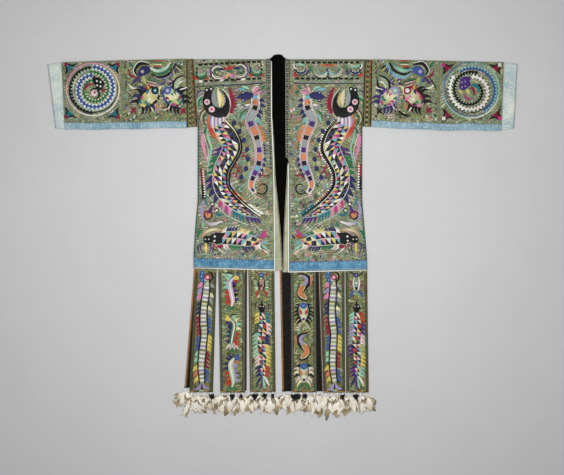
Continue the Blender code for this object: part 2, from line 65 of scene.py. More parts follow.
def newGroup(name, inputs, outputs):
    # a node group, each input given by its kind or by the number that it starts at
    group = bpy.data.node_groups.new(name, "ShaderNodeTree")
    for label, start in inputs.items():
        kind = start if isinstance(start, str) else "Float"
        socket = group.interface.new_socket(label, in_out="INPUT", socket_type="NodeSocket" + kind)
        if kind == "Float":
            socket.default_value = start
    for label, kind in outputs.items():
        group.interface.new_socket(label, in_out="OUTPUT", socket_type="NodeSocket" + kind)
    return group, group.nodes.new("NodeGroupInput").outputs, group.nodes.new("NodeGroupOutput").inputs


def feed(tree, socket, value):
    if isinstance(value, bpy.types.NodeSocket):
        tree.links.new(value, socket)
    else:
        socket.default_value = value


def addNode(tree, kind, settings=None, **values):
    # a node with its settings, and each named input fed by a value or by another node's output
    node = tree.nodes.new("ShaderNode" + kind)
    for key, value in (settings or {}).items():
        setattr(node, key, value)
    for label, value in values.items():
        feed(tree, node.inputs[label.replace("_", " ")], value)
    return node


def mathNode(tree, operation, *values):
    node = addNode(tree, "Math", {"operation": operation})
    for socket, value in zip(node.inputs, values):
        feed(tree, socket, value)
    return node.outputs[0]


def mixNode(tree, factor, first, second):
    node = addNode(tree, "Mix", {"data_type": "RGBA"})
    for place, value in ((0, factor), (6, first), (7, second)):
        feed(tree, node.inputs[place], value)
    return node.outputs[2]


def noiseNode(tree, vector, scale, detail, roughness=0.6):
    return addNode(tree, "TexNoise", Vector=vector, Scale=scale, Detail=detail,
                   Roughness=roughness).outputs["Fac"]


def rangeNode(tree, value, low, high):
    return addNode(tree, "MapRange", Value=value, From_Min=low, From_Max=high).outputs["Result"]


waveTurn = 6.283  # a wave texture's scale counts radians, and the thread counts are whole waves


def makeWeave():
    # over-and-under threads: bands along one axis on the dark checks, along the other on the light ones
    group, given, result = newGroup("plainWeave", {"Vector": "Vector", "Threads": 700}, {"Height": "Float"})
    pitch = mathNode(group, "DIVIDE", given["Threads"], waveTurn)
    warp, weft = [addNode(group, "TexWave", {"bands_direction": axis}, Vector=given["Vector"], Scale=pitch,
                          Distortion=0.6, Detail=1).outputs["Fac"] for axis in "XY"]
    checks = addNode(group, "TexChecker", Vector=given["Vector"], Scale=given["Threads"]).outputs["Fac"]
    upper = mathNode(group, "MULTIPLY", warp, checks)
    lower = mathNode(group, "MULTIPLY", weft, mathNode(group, "SUBTRACT", 1, checks))
    group.links.new(mathNode(group, "ADD", upper, lower), result["Height"])
    return group


def makeMottle():
    # cloudy dye with fine flecks of a third colour
    group, given, result = newGroup("mottledDye", {
        "Vector": "Vector", "Deep": "Color", "Light": "Color", "Fleck": "Color",
        "Cloud Scale": 40, "Fleck Scale": 300, "Fleck Amount": 0.4}, {"Color": "Color"})
    cloud = noiseNode(group, given["Vector"], given["Cloud Scale"], 5, 0.65)
    fleck = noiseNode(group, given["Vector"], given["Fleck Scale"], 2, 0.5)
    dyed = mixNode(group, rangeNode(group, cloud, 0.32, 0.68), given["Deep"], given["Light"])
    amount = mathNode(group, "MULTIPLY", rangeNode(group, fleck, 0.52, 0.7), given["Fleck Amount"])
    group.links.new(mixNode(group, amount, dyed, given["Fleck"]), result["Color"])
    return group


def makeStitch():
    # parallel threads across a run of satin stitch, with a little variation from thread to thread
    group, given, result = newGroup(
        "satinStitch", {"Vector": "Vector", "Color": "Color", "Threads": 1.4, "Unevenness": 0.3},
        {"Color": "Color", "Height": "Float"})
    wave = addNode(group, "TexWave", {"bands_direction": "Y"}, Vector=given["Vector"], Distortion=1.2,
                   Detail=2, Detail_Scale=0.4,
                   Scale=mathNode(group, "DIVIDE", given["Threads"], waveTurn)).outputs["Fac"]
    noise = noiseNode(group, given["Vector"], 0.5, 2)
    uneven = mathNode(group, "MULTIPLY_ADD", noise, given["Unevenness"], 0.85)
    # painted shade: the colour is darker where the thread wave dips between threads
    value = mathNode(group, "MULTIPLY", uneven, mathNode(group, "MULTIPLY_ADD", wave, 0.25, 0.8))
    tint = addNode(group, "HueSaturation", Color=given["Color"], Value=value)
    group.links.new(tint.outputs["Color"], result["Color"])
    group.links.new(wave, result["Height"])
    return group


weaveGroup = makeWeave()
mottleGroup = makeMottle()
stitchGroup = makeStitch()


def startMaterial(name, roughness, sheen):
    material = bpy.data.materials.new(name)
    material.use_nodes = True
    shader = material.node_tree.nodes["Principled BSDF"]
    for label, value in (("Roughness", roughness), ("Sheen Weight", sheen), ("Sheen Roughness", 0.4),
                         ("Specular IOR Level", 0.2)):
        shader.inputs[label].default_value = value
    return material, material.node_tree, shader


def finishMaterial(tree, shader, colour, height, strength, distance):
    bump = addNode(tree, "Bump", Height=height, Strength=strength, Distance=distance * mm)
    tree.links.new(colour.outputs["Color"], shader.inputs["Base Color"])
    tree.links.new(bump.outputs["Normal"], shader.inputs["Normal"])


def clothMaterial(name, deep, light, fleck, clouds, flecks, amount, threads=900, roughness=0.85,
                  sheen=0.03):
    # woven cloth with a mottled dye
    material, tree, shader = startMaterial(name, roughness, sheen)
    place = addNode(tree, "TexCoord").outputs["Object"]
    dye = addNode(tree, "Group", {"node_tree": mottleGroup}, Vector=place, Deep=tone(*deep),
                  Light=tone(*light), Fleck=tone(*fleck), Cloud_Scale=clouds, Fleck_Scale=flecks,
                  Fleck_Amount=amount)
    weave = addNode(tree, "Group", {"node_tree": weaveGroup}, Vector=place,
                    Threads=threads).outputs["Height"]
    # painted shade between the threads: the dye darkens where the weave lies low
    shade = mathNode(tree, "MULTIPLY_ADD", weave, 0.18, 0.86)
    tint = addNode(tree, "HueSaturation", Color=dye.outputs["Color"], Value=shade)
    finishMaterial(tree, shader, tint, weave, 0.5, 0.25)
    return material


def cordMaterial(name, deep, light, twist):
    # cotton cord: a slanting twist across a run of either direction, every few millimetres
    material, tree, shader = startMaterial(name, 0.8, 0.05)
    place = addNode(tree, "TexCoord").outputs["Object"]
    wave = addNode(tree, "TexWave", {"bands_direction": "DIAGONAL"}, Vector=place, Scale=0.4 / (twist * mm),
                   Distortion=1.5, Detail=2).outputs["Fac"]
    soil = mixNode(tree, noiseNode(tree, place, 35, 4), tone(*deep), tone(*light))
    # painted shade: the cord is darker in the grooves of its twist
    tint = addNode(tree, "HueSaturation", Color=soil, Value=mathNode(tree, "MULTIPLY_ADD", wave, 0.2, 0.94))
    finishMaterial(tree, shader, tint, wave, 0.8, 0.6)
    return material


def threadMaterial(name, threads=1.4, roughness=0.5, sheen=0.06):
    # silk in satin stitch: the colour is the thread's own, kept with each point of the embroidery
    material, tree, shader = startMaterial(name, roughness, sheen)
    run = addNode(tree, "UVMap", {"uv_map": "stitchRun"}).outputs["UV"]
    dyed = addNode(tree, "Attribute", {"attribute_name": "thread"}).outputs["Color"]
    stitch = addNode(tree, "Group", {"node_tree": stitchGroup}, Vector=run, Color=dyed, Threads=threads)
    finishMaterial(tree, shader, stitch, stitch.outputs["Height"], 0.7, 0.3)
    return material


clothLooks = {  # name, deep, light, fleck; cloud scale, fleck scale, flecks; threads, roughness, sheen
    "back_cloth": ("indigoBack", (16, 18, 22), (28, 31, 37), (52, 56, 62), 20, 200, 0.2),
    "black_lining": ("blackLining", (2, 3, 2), (6, 7, 5), (20, 21, 16), 30, 240, 0.3, 900, 0.85, 0),
    "front_embroidery": ("sageGround", (100, 110, 84), (146, 154, 124), (128, 118, 104), 90, 420, 0.75, 620,
                         0.7),
    "yoke_frieze": ("paleGround", (100, 108, 82), (144, 150, 120), (140, 130, 110), 80, 420, 0.6, 620, 0.7),
    "neck_binding": ("darkBinding", (50, 58, 52), (94, 102, 90), (166, 166, 144), 60, 300, 0.6),
    "sage_facing": ("sageFacing", (150, 154, 126), (188, 188, 162), (206, 200, 176), 30, 260, 0.5),
    "blue_band": ("denimBlue", (54, 104, 138), (112, 164, 190), (156, 198, 216), 44, 110, 0.45),
    "pale_blue": ("fadedBlue", (108, 146, 166), (152, 182, 194), (206, 218, 220), 24, 200, 0.8),
    "sleeve_ground": ("sleeveCloth", (92, 96, 62), (124, 126, 88), (146, 136, 102), 60, 300, 0.5),
    "armhole_braid": ("armholeBraid", (84, 74, 46), (116, 106, 66), (140, 114, 76), 70, 330, 0.6),
    "pale_cuff": ("paleCuff", (146, 180, 190), (222, 226, 214), (242, 242, 236), 17, 200, 0.85),
    "sleeve_embroidery": ("oliveGround", (100, 108, 78), (142, 150, 114), (124, 112, 94), 90, 420, 0.7, 620,
                          0.7),
    "tail_embroidery": ("stripGround", (94, 98, 64), (136, 140, 96), (118, 102, 78), 90, 420, 0.7, 620,
                        0.7),
    "black_tail": ("blackTail", (3, 3, 4), (20, 19, 18), (74, 70, 56), 90, 420, 0.45, 900, 0.85, 0),
}
materials = {slot: clothMaterial(*look) for slot, look in clothLooks.items()}
materials["white_piping"] = cordMaterial("whiteCord", (236, 240, 230), (254, 255, 250), 2.4)
materials["thread"] = threadMaterial("silkThread")
materials["down"] = threadMaterial("whiteDown", 2.2, 0.75, 0.1)
materials["string"] = threadMaterial("twistedString", 1.2, 0.7, 0.05)
materials["seed"] = clothMaterial("polishedSeed", (240, 240, 232), (255, 255, 250), (214, 208, 190), 300,
                                  900, 0.35, 300, 0.28, 0)
liningShader = materials["black_lining"].node_tree.nodes["Principled BSDF"]
liningShader.inputs["Specular IOR Level"].default_value = 0.04
print("materials:", len(materials))


# cloth

def spread(low, high, share):
    return low + (high - low) * share


def readPiece(node):
    # a CAD piece seen from above: its corners, its four sides as curves, and a search tree for its heights
    bm = bmesh.new()
    bm.from_mesh(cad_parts[node].data)
    bmesh.ops.remove_doubles(bm, verts=bm.verts, dist=1e-6)
    ends = np.array([[*e.verts[0].co.xy, *e.verts[1].co.xy] for e in bm.edges]) / mm
    points = np.array([v.co.xy[:] for v in bm.verts]) / mm
    tree = BVHTree.FromBMesh(bm)
    bm.free()

    def corner(alongX, alongY):
        return points[np.argmax(points[:, 0] * alongX + points[:, 1] * alongY)]

    def crossing(axis, value):
        # lowest and highest place where the piece's edges cross a line
        first, last = ends[:, axis], ends[:, axis + 2]
        cut = (first - value) * (last - value) <= 0
        cut &= np.abs(last - first) > 1e-9
        share = (value - first[cut]) / (last[cut] - first[cut])
        across = spread(ends[cut, 1 - axis], ends[cut, 3 - axis], share)
        return across.min(), across.max()

    lowLeft, lowRight, highLeft, highRight = corner(-1, -1), corner(1, -1), corner(-1, 1), corner(1, 1)
    shares = np.linspace(0, 1, 61)
    inner = shares[1:-1]

    def side(start, end, axis, pick):
        places = spread(start[axis], end[axis], inner)
        met = np.array([crossing(axis, place)[pick] for place in places])
        line = np.empty((len(shares), 2))
        line[0], line[-1] = start, end
        line[1:-1, axis], line[1:-1, 1 - axis] = places, met
        return line

    return {
        "tree": tree,
        "shares": shares,
        "bottom": side(lowLeft, lowRight, 0, 0),
        "top": side(highLeft, highRight, 0, 1),
        "left": side(lowLeft, highLeft, 1, 0),
        "right": side(lowRight, highRight, 1, 1),
    }


def planPoint(piece, u, v):
    # a point inside the four sides, u from left to right and v from foot to top
    def at(side, share):
        return np.stack([np.interp(share, piece["shares"], piece[side][:, k]) for k in (0, 1)], axis=-1)
    u, v = np.broadcast_arrays(u, v)
    a, b = u[..., None], v[..., None]
    ruled = (1 - b) * at("bottom", u) + b * at("top", u) + (1 - a) * at("left", v) + a * at("right", v)
    zero, one = np.zeros_like(u), np.ones_like(u)
    corners = (1 - a) * (1 - b) * at("bottom", zero) + a * (1 - b) * at("bottom", one)
    corners += (1 - a) * b * at("top", zero) + a * b * at("top", one)
    return ruled - corners


def castHeight(tree, x, y, downwards=True):
    start = 0.1 if downwards else -0.1
    hit = tree.ray_cast(Vector((x * mm, y * mm, start)), Vector((0, 0, -1 if downwards else 1)))[0]
    if hit is None:
        hit = tree.find_nearest(Vector((x * mm, y * mm, 0.004)))[0]
    return hit.z / mm


def soften(heights, rounds):
    # takes the facets out of a field of heights and keeps its edges
    for _ in range(rounds):
        padded = np.pad(heights, 1, mode="edge")
        beside = padded[:-2, 1:-1] + padded[2:, 1:-1] + padded[1:-1, :-2] + padded[1:-1, 2:]
        heights = (beside + 2 * heights) / 6
    return heights


# soft creases that run through every layer above the lining: start, end, width and height, troughs below zero
creases = [
    (-235, 250, -190, -20, 10, 0.9), (-175, 330, -140, 120, 9, -0.6), (-100, 60, -60, -80, 12, 0.8),
    (-230, -20, -120, -70, 9, 0.7), (-60, 430, -95, 250, 9, 0.6), (-210, 430, -150, 360, 12, -0.5),
    (-160, 20, -130, -90, 7, -0.6), (-245, 120, -215, 60, 8, 0.6), (-80, 200, -50, 90, 8, -0.5),
    (215, 240, 175, -10, 10, 0.9), (150, 340, 120, 130, 9, -0.6), (80, 60, 60, -80, 12, 0.8),
    (215, -30, 110, -75, 9, 0.7), (60, 420, 90, 240, 9, 0.6), (190, 430, 140, 350, 12, -0.5),
    (140, 10, 165, -90, 7, -0.6), (225, 130, 205, 50, 8, 0.6), (45, 220, 60, 100, 8, -0.5),
    (-640, 500, -600, 350, 12, 0.7), (-560, 480, -520, 340, 10, -0.5), (-470, 500, -420, 345, 12, 0.8),
    (-380, 480, -350, 350, 9, -0.5), (-330, 500, -300, 380, 11, 0.6), (-690, 490, -668, 340, 8, 0.7),
    (640, 500, 600, 350, 12, 0.7), (560, 480, 520, 340, 10, -0.5), (470, 500, 420, 345, 12, 0.8),
    (380, 480, 350, 350, 9, -0.5), (320, 500, 300, 380, 11, 0.6), (688, 490, 676, 340, 8, 0.7),
    (-250, -150, -200, -180, 8, 0.6), (-190, -250, -120, -270, 9, 0.7), (-95, -200, -30, -230, 8, 0.6),
    (-260, -330, -215, -350, 9, 0.7), (-100, -380, -25, -395, 9, 0.6), (-185, -400, -120, -410, 8, 0.5),
    (30, -170, 95, -190, 8, 0.6), (120, -260, 180, -250, 9, 0.7), (195, -210, 250, -235, 8, 0.6),
    (35, -330, 100, -345, 9, 0.6), (195, -370, 255, -385, 9, 0.7), (120, -400, 185, -415, 8, 0.5),
]
ripple = {"height": 0.35, "length": 46, "under": 0.8, "underLength": 17, "underReach": 26}


def creaseAt(x, y):
    total = np.zeros_like(x)
    for startX, startY, endX, endY, width, height in creases:
        dx, dy = endX - startX, endY - startY
        along = ((x - startX) * dx + (y - startY) * dy) / (dx * dx + dy * dy)
        aside = ((x - startX) * dy - (y - startY) * dx) / math.hypot(dx, dy)
        wander = width * 0.5 * np.sin(along * 5 + startX)
        fade = np.clip(1 - np.abs(2 * along - 1), 0, 1)
        total += height * fade * fade * (3 - 2 * fade) * np.exp(-((aside - wander) / width) ** 2)
    length = ripple["length"]
    wave = np.sin(x / length + 1.7 * np.sin(y / 90))
    total += ripple["height"] * wave * np.sin(y / (length * 1.3) + x / 210)
    # the puckered underarm seam of each sleeve
    reach = np.clip(1 - (y - 316) / ripple["underReach"], 0, 1) * (np.abs(x) > 272) * (y > 300)
    total += ripple["under"] * reach * (np.sin(x / ripple["underLength"] * 2.3 + 2 * np.sin(x / 40)) - 0.3)
    return np.maximum(total, -0.1)


def gridShares(length, cell, rim):
    # even shares along a side, with one more close to each end for a rounded rim
    count = max(2, round(length / cell))
    inner = np.linspace(0, 1, count + 1)[1:-1]
    return np.array([0, rim / length, *inner, 1 - rim / length, 1])


sheets = {}  # the search tree of each finished cloth, for what is sewn on it


def link(name, mesh):
    made = bpy.data.objects.new(name, mesh)
    bpy.context.scene.collection.objects.link(made)
    mesh.shade_smooth()
    return made


def cornerValues(mesh, layer, uv):
    # one flat value for each corner of a face, from one for each point
    corners = np.empty(len(mesh.loops), int)
    mesh.loops.foreach_get("vertex_index", corners)
    mesh.uv_layers.new(name=layer).data.foreach_set("uv", uv[corners].ravel())


def pickOut(made):
    bpy.ops.object.select_all(action="DESELECT")
    bpy.context.view_layer.objects.active = made
    made.select_set(True)


def finishMesh(name, points, faces, material, uv=None):
    mesh = bpy.data.meshes.new(name)
    mesh.from_pydata(points, [], faces)
    mesh.materials.append(material)
    if uv is not None:
        cornerValues(mesh, "cut", uv)
    return link(name, mesh)


def gridFaces(columns, rows, first=0, flip=False):
    faces = []
    for j in range(rows - 1):
        for i in range(columns - 1):
            a = first + j * columns + i
            face = (a, a + 1, a + columns + 1, a + columns)
            faces.append(face[::-1] if flip else face)
    return faces


def shellFaces(columns, rows):
    # two stacked grids of points as one closed shell, the upper grid first
    count = rows * columns
    faces = gridFaces(columns, rows) + gridFaces(columns, rows, count, True)
    loop = [*range(columns)] + [j * columns + columns - 1 for j in range(1, rows)]
    loop += [(rows - 1) * columns + i for i in range(columns - 2, -1, -1)]
    loop += [j * columns for j in range(rows - 2, 0, -1)]
    for here, after in zip(loop, loop[1:] + loop[:1]):
        faces.append((here, here + count, after + count, after))
    return faces


clothForm = {
    "rim": 0.8,  # from an edge to the next row of points
    "inset": 0.6,  # how far inside an edge its height is read
    "drop": 0.4,  # how far the edge is rounded down, as a share of the wall
    "narrow": 6,  # a strip that tapers to less than this has a grid of its own
    "leastFlat": 10.01,  # the least side of a flat sheet
    "foldRadius": 2.6,  # of a tube's two folds
    "foldTurns": (20, 40, 60, 78),  # degrees round a fold
    "tubeWall": 1.1,
}


def layCloth(name, node, slot, cell=6, crease=1.0, rounds=3, material=None):
    # a thin shell over one CAD panel, with its facets smoothed out and the creases laid in
    piece = readPiece(node)
    wide, long = [np.linalg.norm(np.diff(piece[side], axis=0), axis=1).sum() for side in ("bottom", "left")]
    spanned = max(wide, clothForm["narrow"])
    us = gridShares(spanned, cell, clothForm["rim"])
    if wide < clothForm["narrow"]:
        us = np.array([0, 0.25, 0.75, 1])
    v, u = np.meshgrid(gridShares(long, cell, clothForm["rim"]), us, indexing="ij")
    plan = planPoint(piece, u, v)
    marginU, marginV = clothForm["inset"] / spanned, clothForm["inset"] / long
    inside = planPoint(piece, np.clip(u, marginU, 1 - marginU), np.clip(v, marginV, 1 - marginV))
    top, under = [np.array([[castHeight(piece["tree"], *p, down) for p in row] for row in inside])
                  for down in (True, False)]
    wall = float(np.median(top - under))
    top = soften(top, rounds) + crease * creaseAt(plan[..., 0], plan[..., 1])
    under = top - wall
    edge = np.pad(np.ones((top.shape[0] - 2, top.shape[1] - 2)), 1)
    top = top - clothForm["drop"] * wall * (1 - edge)
    rows, columns = top.shape
    points = []
    for heights in (top, under):
        points.extend(map(tuple, np.dstack([plan, heights]).reshape(-1, 3) * mm))
    uv = np.tile(np.stack([u * wide, v * long], axis=-1).reshape(-1, 2), (2, 1)) * mm
    made = finishMesh(name, points, shellFaces(columns, rows), material or materials[slot], uv)
    dress(made, node)
    sheets[node] = BVHTree.FromPolygons(points[:rows * columns], gridFaces(columns, rows))
    return made


def shoelace(piece):
    ring = np.vstack([piece["bottom"], piece["right"], piece["top"][::-1], piece["left"][::-1]]) * mm
    x, y = ring[:, 0], ring[:, 1]
    return float(abs(np.dot(x, np.roll(y, -1)) - np.dot(y, np.roll(x, -1))) / 2)


def dress(made, node):
    if node:
        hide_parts(node)
    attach(made, "root")


def rollTube(name, node, slot, cell=7):
    # a flattened tube of cloth, open at both ends
    piece = readPiece(node)
    width = np.linalg.norm(piece["top"][0] - piece["bottom"][0])
    length = np.linalg.norm(np.diff(piece["top"], axis=0), axis=1).sum()
    radius = clothForm["foldRadius"]
    us = np.linspace(0, 1, max(3, round(length / cell)) + 1)
    turned = [radius * (1 - math.cos(math.radians(a))) / width for a in clothForm["foldTurns"]]
    flat = np.linspace(0.016, 0.984, round(width / cell))
    vs = np.array([0, *turned, *flat, *(1 - t for t in reversed(turned)), 1])
    rings = []
    for u in us:
        ring = []
        for side, run in ((1, vs[::-1]), (-1, vs[1:-1])):
            for v in run:
                x, y = planPoint(piece, np.array(u), np.array(v))
                inX, inY = planPoint(piece, np.clip(np.array(u), 0.02, 0.98),
                                     np.clip(np.array(v), 0.016, 0.984))
                fold = min(v, 1 - v) * width
                turn = math.sqrt(max(0, 1 - (1 - min(fold / radius, 1)) ** 2))
                if side > 0:
                    crease = float(creaseAt(np.array([x]), np.array([y]))[0])
                    over = castHeight(piece["tree"], inX, inY) + crease
                    z = radius + (over - radius) * turn
                else:
                    z = radius - radius * turn
                ring.append((x * mm, y * mm, z * mm))
        rings.append(ring)
    count = len(rings[0])
    points = [p for ring in rings for p in ring]
    faces = []
    for i in range(len(rings) - 1):
        for j in range(count):
            k = (j + 1) % count
            faces.append((i * count + j, i * count + k, (i + 1) * count + k, (i + 1) * count + j))
    made = finishMesh(name, points, faces, materials[slot])
    shell = made.modifiers.new("wall", "SOLIDIFY")
    shell.thickness = clothForm["tubeWall"] * mm
    shell.offset = -1
    pickOut(made)
    bpy.ops.object.modifier_apply(modifier=shell.name)
    sheets[node] = BVHTree.FromPolygons(points, faces)
    dress(made, node)
    return made


layCloth("backCloth", "back", "back_cloth", 12, 0)
layCloth("liningCloth", "back_lining", "black_lining", 14, 0)
layCloth("neckStand", "neck_stand", "black_lining", 5, 0, 1)
for half in halves:
    layCloth(half + "Front", "front_" + half, "front_embroidery", 6)
    layCloth(half + "Yoke", "yoke_" + half, "yoke_frieze", 6)
    layCloth(half + "NeckBand", "neck_band_" + half, "neck_binding", 5)
    layCloth(half + "Facing", "facing_" + half, "sage_facing", 6, 0.4)
    layCloth(half + "HemBand", "hem_band_" + half, "blue_band", 5)
    rollTube(half + "Sleeve", "sleeve_" + half, "sleeve_ground")
    rollTube(half + "ArmholeBand", "armhole_band_" + half, "armhole_braid", 5)
    rollTube(half + "Cuff", "cuff_" + half, "pale_cuff", 6)
    layCloth(half + "MedallionSquare", "medallion_square_" + half, "sleeve_embroidery")
    layCloth(half + "BirdSquare", "bird_square_" + half, "sleeve_embroidery")
    layCloth(half + "UnderarmStrip", "underarm_strip_" + half, "blue_band", 4,
             material=materials["pale_blue"])
for number in range(1, 7):
    layCloth(f"frontTail{number}", f"tail_front_{number}", "tail_embroidery", 6)
    layCloth(f"backTail{number}", f"tail_back_{number}", "black_tail", 10, 0)
print("cloth:", len(sheets))


# needlework: lines and shapes in millimetres, raised a little from the cloth that they are sewn on

threads = {
    "black": (14, 13, 16), "white": (234, 234, 224), "cream": (228, 220, 180), "yellow": (220, 196, 98),
    "orange": (206, 126, 82), "rust": (180, 54, 42), "crimson": (138, 24, 58), "magenta": (184, 56, 122),
    "pink": (216, 134, 170), "blush": (222, 198, 192), "lilac": (158, 146, 186), "purple": (72, 42, 114),
    "navy": (38, 42, 90), "blue": (58, 86, 150), "sky": (112, 174, 188), "teal": (30, 116, 126),
    "mint": (146, 200, 174), "green": (34, 110, 70), "olive": (120, 130, 84), "lime": (166, 176, 104),
    "brown": (84, 58, 38), "grey": (150, 154, 158), "sage": (160, 174, 142), "moss": (70, 82, 58),
    "copper": (172, 124, 72),
}
chance = np.random.default_rng(41)


def stepLengths(line):
    return np.hypot(*np.diff(line, axis=0).T)


def unit(degrees):
    return np.array([math.cos(math.radians(degrees)), math.sin(math.radians(degrees))])


def listed(colours):
    return [colours] if isinstance(colours, str) else colours


def resample(line, step):
    run = np.concatenate([[0], np.cumsum(stepLengths(line))])
    at = np.linspace(0, run[-1], max(2, round(run[-1] / step) + 1))
    return np.stack([np.interp(at, run, line[:, k]) for k in (0, 1)], axis=1)


def curve(points, step=3):
    # a smooth line through a few points
    p = np.array(points, float)
    p = np.vstack([2 * p[0] - p[1], p, 2 * p[-1] - p[-2]])
    t = np.linspace(0, 1, 12, endpoint=False)[:, None]
    runs = []
    for a, b, c, d in zip(p, p[1:], p[2:], p[3:]):
        square = (2 * a - 5 * b + 4 * c - d) * t ** 2
        cube = (3 * b - a - 3 * c + d) * t ** 3
        runs.append((2 * b + (c - a) * t + square + cube) / 2)
    return resample(np.vstack([*runs, p[-2][None]]), step)


def coil(centre, radii, angles, step=3):
    # an arc or a spiral, angles in degrees
    share = np.linspace(0, 1, max(4, round(abs(angles[1] - angles[0]) / 8)))
    turn = np.radians(spread(angles[0], angles[1], share))
    radius = along(radii, len(share))
    line = np.stack([centre[0] + radius * np.cos(turn), centre[1] + radius * np.sin(turn)], axis=1)
    return resample(line, step)


def ring(centre, radius, count, squash, turn):
    angle = np.linspace(0, 2 * np.pi, count, endpoint=False)
    x, y = radius * np.cos(angle), radius * squash * np.sin(angle)
    c, s = unit(turn)
    return np.stack([centre[0] + x * c - y * s, centre[1] + x * s + y * c], axis=1)


def part(line, start, end):
    shares = np.linspace(0, 1, len(line))
    at = np.linspace(start, end, max(2, round(abs(end - start) * (len(line) - 1)) + 1))
    return np.stack([np.interp(at, shares, line[:, k]) for k in (0, 1)], axis=1)


def along(values, count):
    values = np.atleast_1d(np.asarray(values, float))
    return np.interp(np.linspace(0, 1, count), np.linspace(0, 1, len(values)), values)


def leftOf(line):
    run = np.gradient(line, axis=0)
    run /= np.maximum(np.hypot(*run.T), 1e-9)[:, None]
    return np.stack([-run[:, 1], run[:, 0]], axis=1)


def shift(line, offset):
    return line + leftOf(line) * along(offset, len(line))[:, None]


def knownDyes(names):
    return np.array([tone(*threads[name])[:3] for name in names])


def dyes(colour, count):
    # linear colours along a run, with a slight change from skein to skein
    known = knownDyes(listed(colour))
    blend = np.stack([along(known[:, k], count) for k in range(3)], axis=1)
    return np.hstack([blend * chance.uniform(0.86, 1.12), np.ones((count, 1))])


def asDrawn(line):
    return line


def startWork(node=None, place=asDrawn):
    return {"tree": sheets.get(node), "place": place, "points": [], "faces": [], "dyes": [], "runs": [],
            "kinds": [], "count": 0}


def keep(work, points, faces, colour, runs, kind=0):
    first = work["count"]
    work["points"].append(points)
    work["faces"].extend([tuple(first + i for i in face) for face in faces])
    work["dyes"].append(colour)
    work["runs"].append(runs)
    work["kinds"].extend([kind] * len(faces))
    work["count"] = first + len(points)


satinSection = ((-1, -0.3), (-0.72, 0.8), (0, 1), (0.72, 0.8), (1, -0.3))


def satin(work, line, width, colour, lift, base=0.0):
    # satin stitch along a line: a low rounded ridge with its threads across
    line = work["place"](np.asarray(line, float))
    count = len(line)
    half = along(width, count) / 2
    side = leftOf(line)
    distance = np.concatenate([[0], np.cumsum(stepLengths(line))])
    columns, runs = [], []
    for across, height in satinSection:
        plan = line + side * (half * across)[:, None]
        rise = base + lift * height * np.minimum(1, 0.35 + half / 2)
        columns.append(np.column_stack([plan, rise]))
        runs.append(np.column_stack([half * across, distance]))
    wide = len(satinSection)
    points = np.stack(columns, axis=1).reshape(-1, 3)
    faces = []
    for i in range(count - 1):
        for j in range(wide):
            k = (j + 1) % wide
            faces.append(((i + 1) * wide + j, (i + 1) * wide + k, i * wide + k, i * wide + j))
    faces.append(tuple(range(wide)))
    faces.append(tuple((count - 1) * wide + j for j in reversed(range(wide))))
    keep(work, points, faces, np.repeat(dyes(colour, count), wide, axis=0),
         np.stack(runs, axis=1).reshape(-1, 2))


def fill(work, outline, colour, lift, base=0.0):
    # a filled shape, domed a little, its threads along one direction
    outer = work["place"](np.asarray(outline, float))
    x, y = outer.T
    if np.dot(x, np.roll(y, -1)) < np.dot(y, np.roll(x, -1)):
        outer = outer[::-1]
    count = len(outer)
    centre = outer.mean(axis=0)
    reach = np.maximum(np.hypot(*(outer - centre).T), 1e-6)
    inner = outer + (centre - outer) * np.minimum(0.7 / reach, 0.35)[:, None]
    plan = np.vstack([outer, inner, centre, centre])
    low = base - 0.3 * lift
    rise = np.array([low] * count + [base + 0.8 * lift] * count + [base + lift, low])
    faces = []
    for i in range(count):
        k = (i + 1) % count
        faces.append((i, k, count + k, count + i))
        faces.append((count + i, count + k, 2 * count))
        faces.append((k, i, 2 * count + 1))
    turn = math.radians(chance.uniform(0, 180))
    away = plan - centre
    c, s = math.cos(turn), math.sin(turn)
    runs = np.column_stack([away @ (c, s), away @ (-s, c)])
    keep(work, np.column_stack([plan, rise]), faces, np.repeat(dyes(colour, 1), len(plan), axis=0), runs)


def disc(work, centre, radius, colour, lift=0.5, base=0.0, squash=1, turn=0):
    fill(work, ring(centre, radius, max(8, min(18, round(radius * 2))), squash, turn), colour, lift, base)


def leaf(work, start, end, width, colour, bend=0.0, lift=0.5, base=0.0, spike=False):
    start, end = np.array(start, float), np.array(end, float)
    run = end - start
    middle = (start + end) / 2 + np.array([-run[1], run[0]]) * bend
    line = curve([start, middle, end], 2.5 if np.hypot(*run) < 40 else 5)
    share = np.linspace(0, 1, len(line))
    shape = (1 - share) ** 0.9 if spike else np.sin(np.pi * np.clip(share, 0.02, 0.98)) ** 0.8
    satin(work, line, np.maximum(width * shape, 0.25), colour, lift, base)


def fins(work, edge, count, length, colour, side, lean, bend=0.15, base=0.0, fat=1.25):
    # a saw-edged comb: pointed fins, broad at the root, that lean along an edge
    names = listed(colour)
    outward = leftOf(edge) * side
    pitch = stepLengths(edge).sum() / count
    if fat > 1 and len(edge) > 3:
        band = min(4, np.max(length) * 0.2)
        satin(work, shift(edge, side * band * 0.3), [1, band, band, 1], names, 0.45, base)
    for k, reach in enumerate(along(length, count)):
        at = (k + 0.5) / count * (len(edge) - 1)
        i = min(int(at), len(edge) - 2)
        root = spread(edge[i], edge[i + 1], at - i)
        forward = edge[i + 1] - edge[i]
        forward /= max(np.hypot(*forward), 1e-9)
        tip = root + (outward[i] * (1 - abs(lean) * 0.4) + forward * lean) * reach
        leaf(work, root - outward[i] * 1.5, tip, pitch * fat, names[k % len(names)], bend * side, 0.5, base,
             True)


def teeth(work, edge, pitch, height, colour, side, base):
    # sawtooth triangles along an edge
    length = stepLengths(edge).sum()
    points = resample(edge, length / max(1, round(length / pitch)))
    outward = leftOf(points) * side
    for a, b, out in zip(points, points[1:], outward):
        fill(work, [a, b, (a + b) / 2 + out * height], colour, 0.4, base)


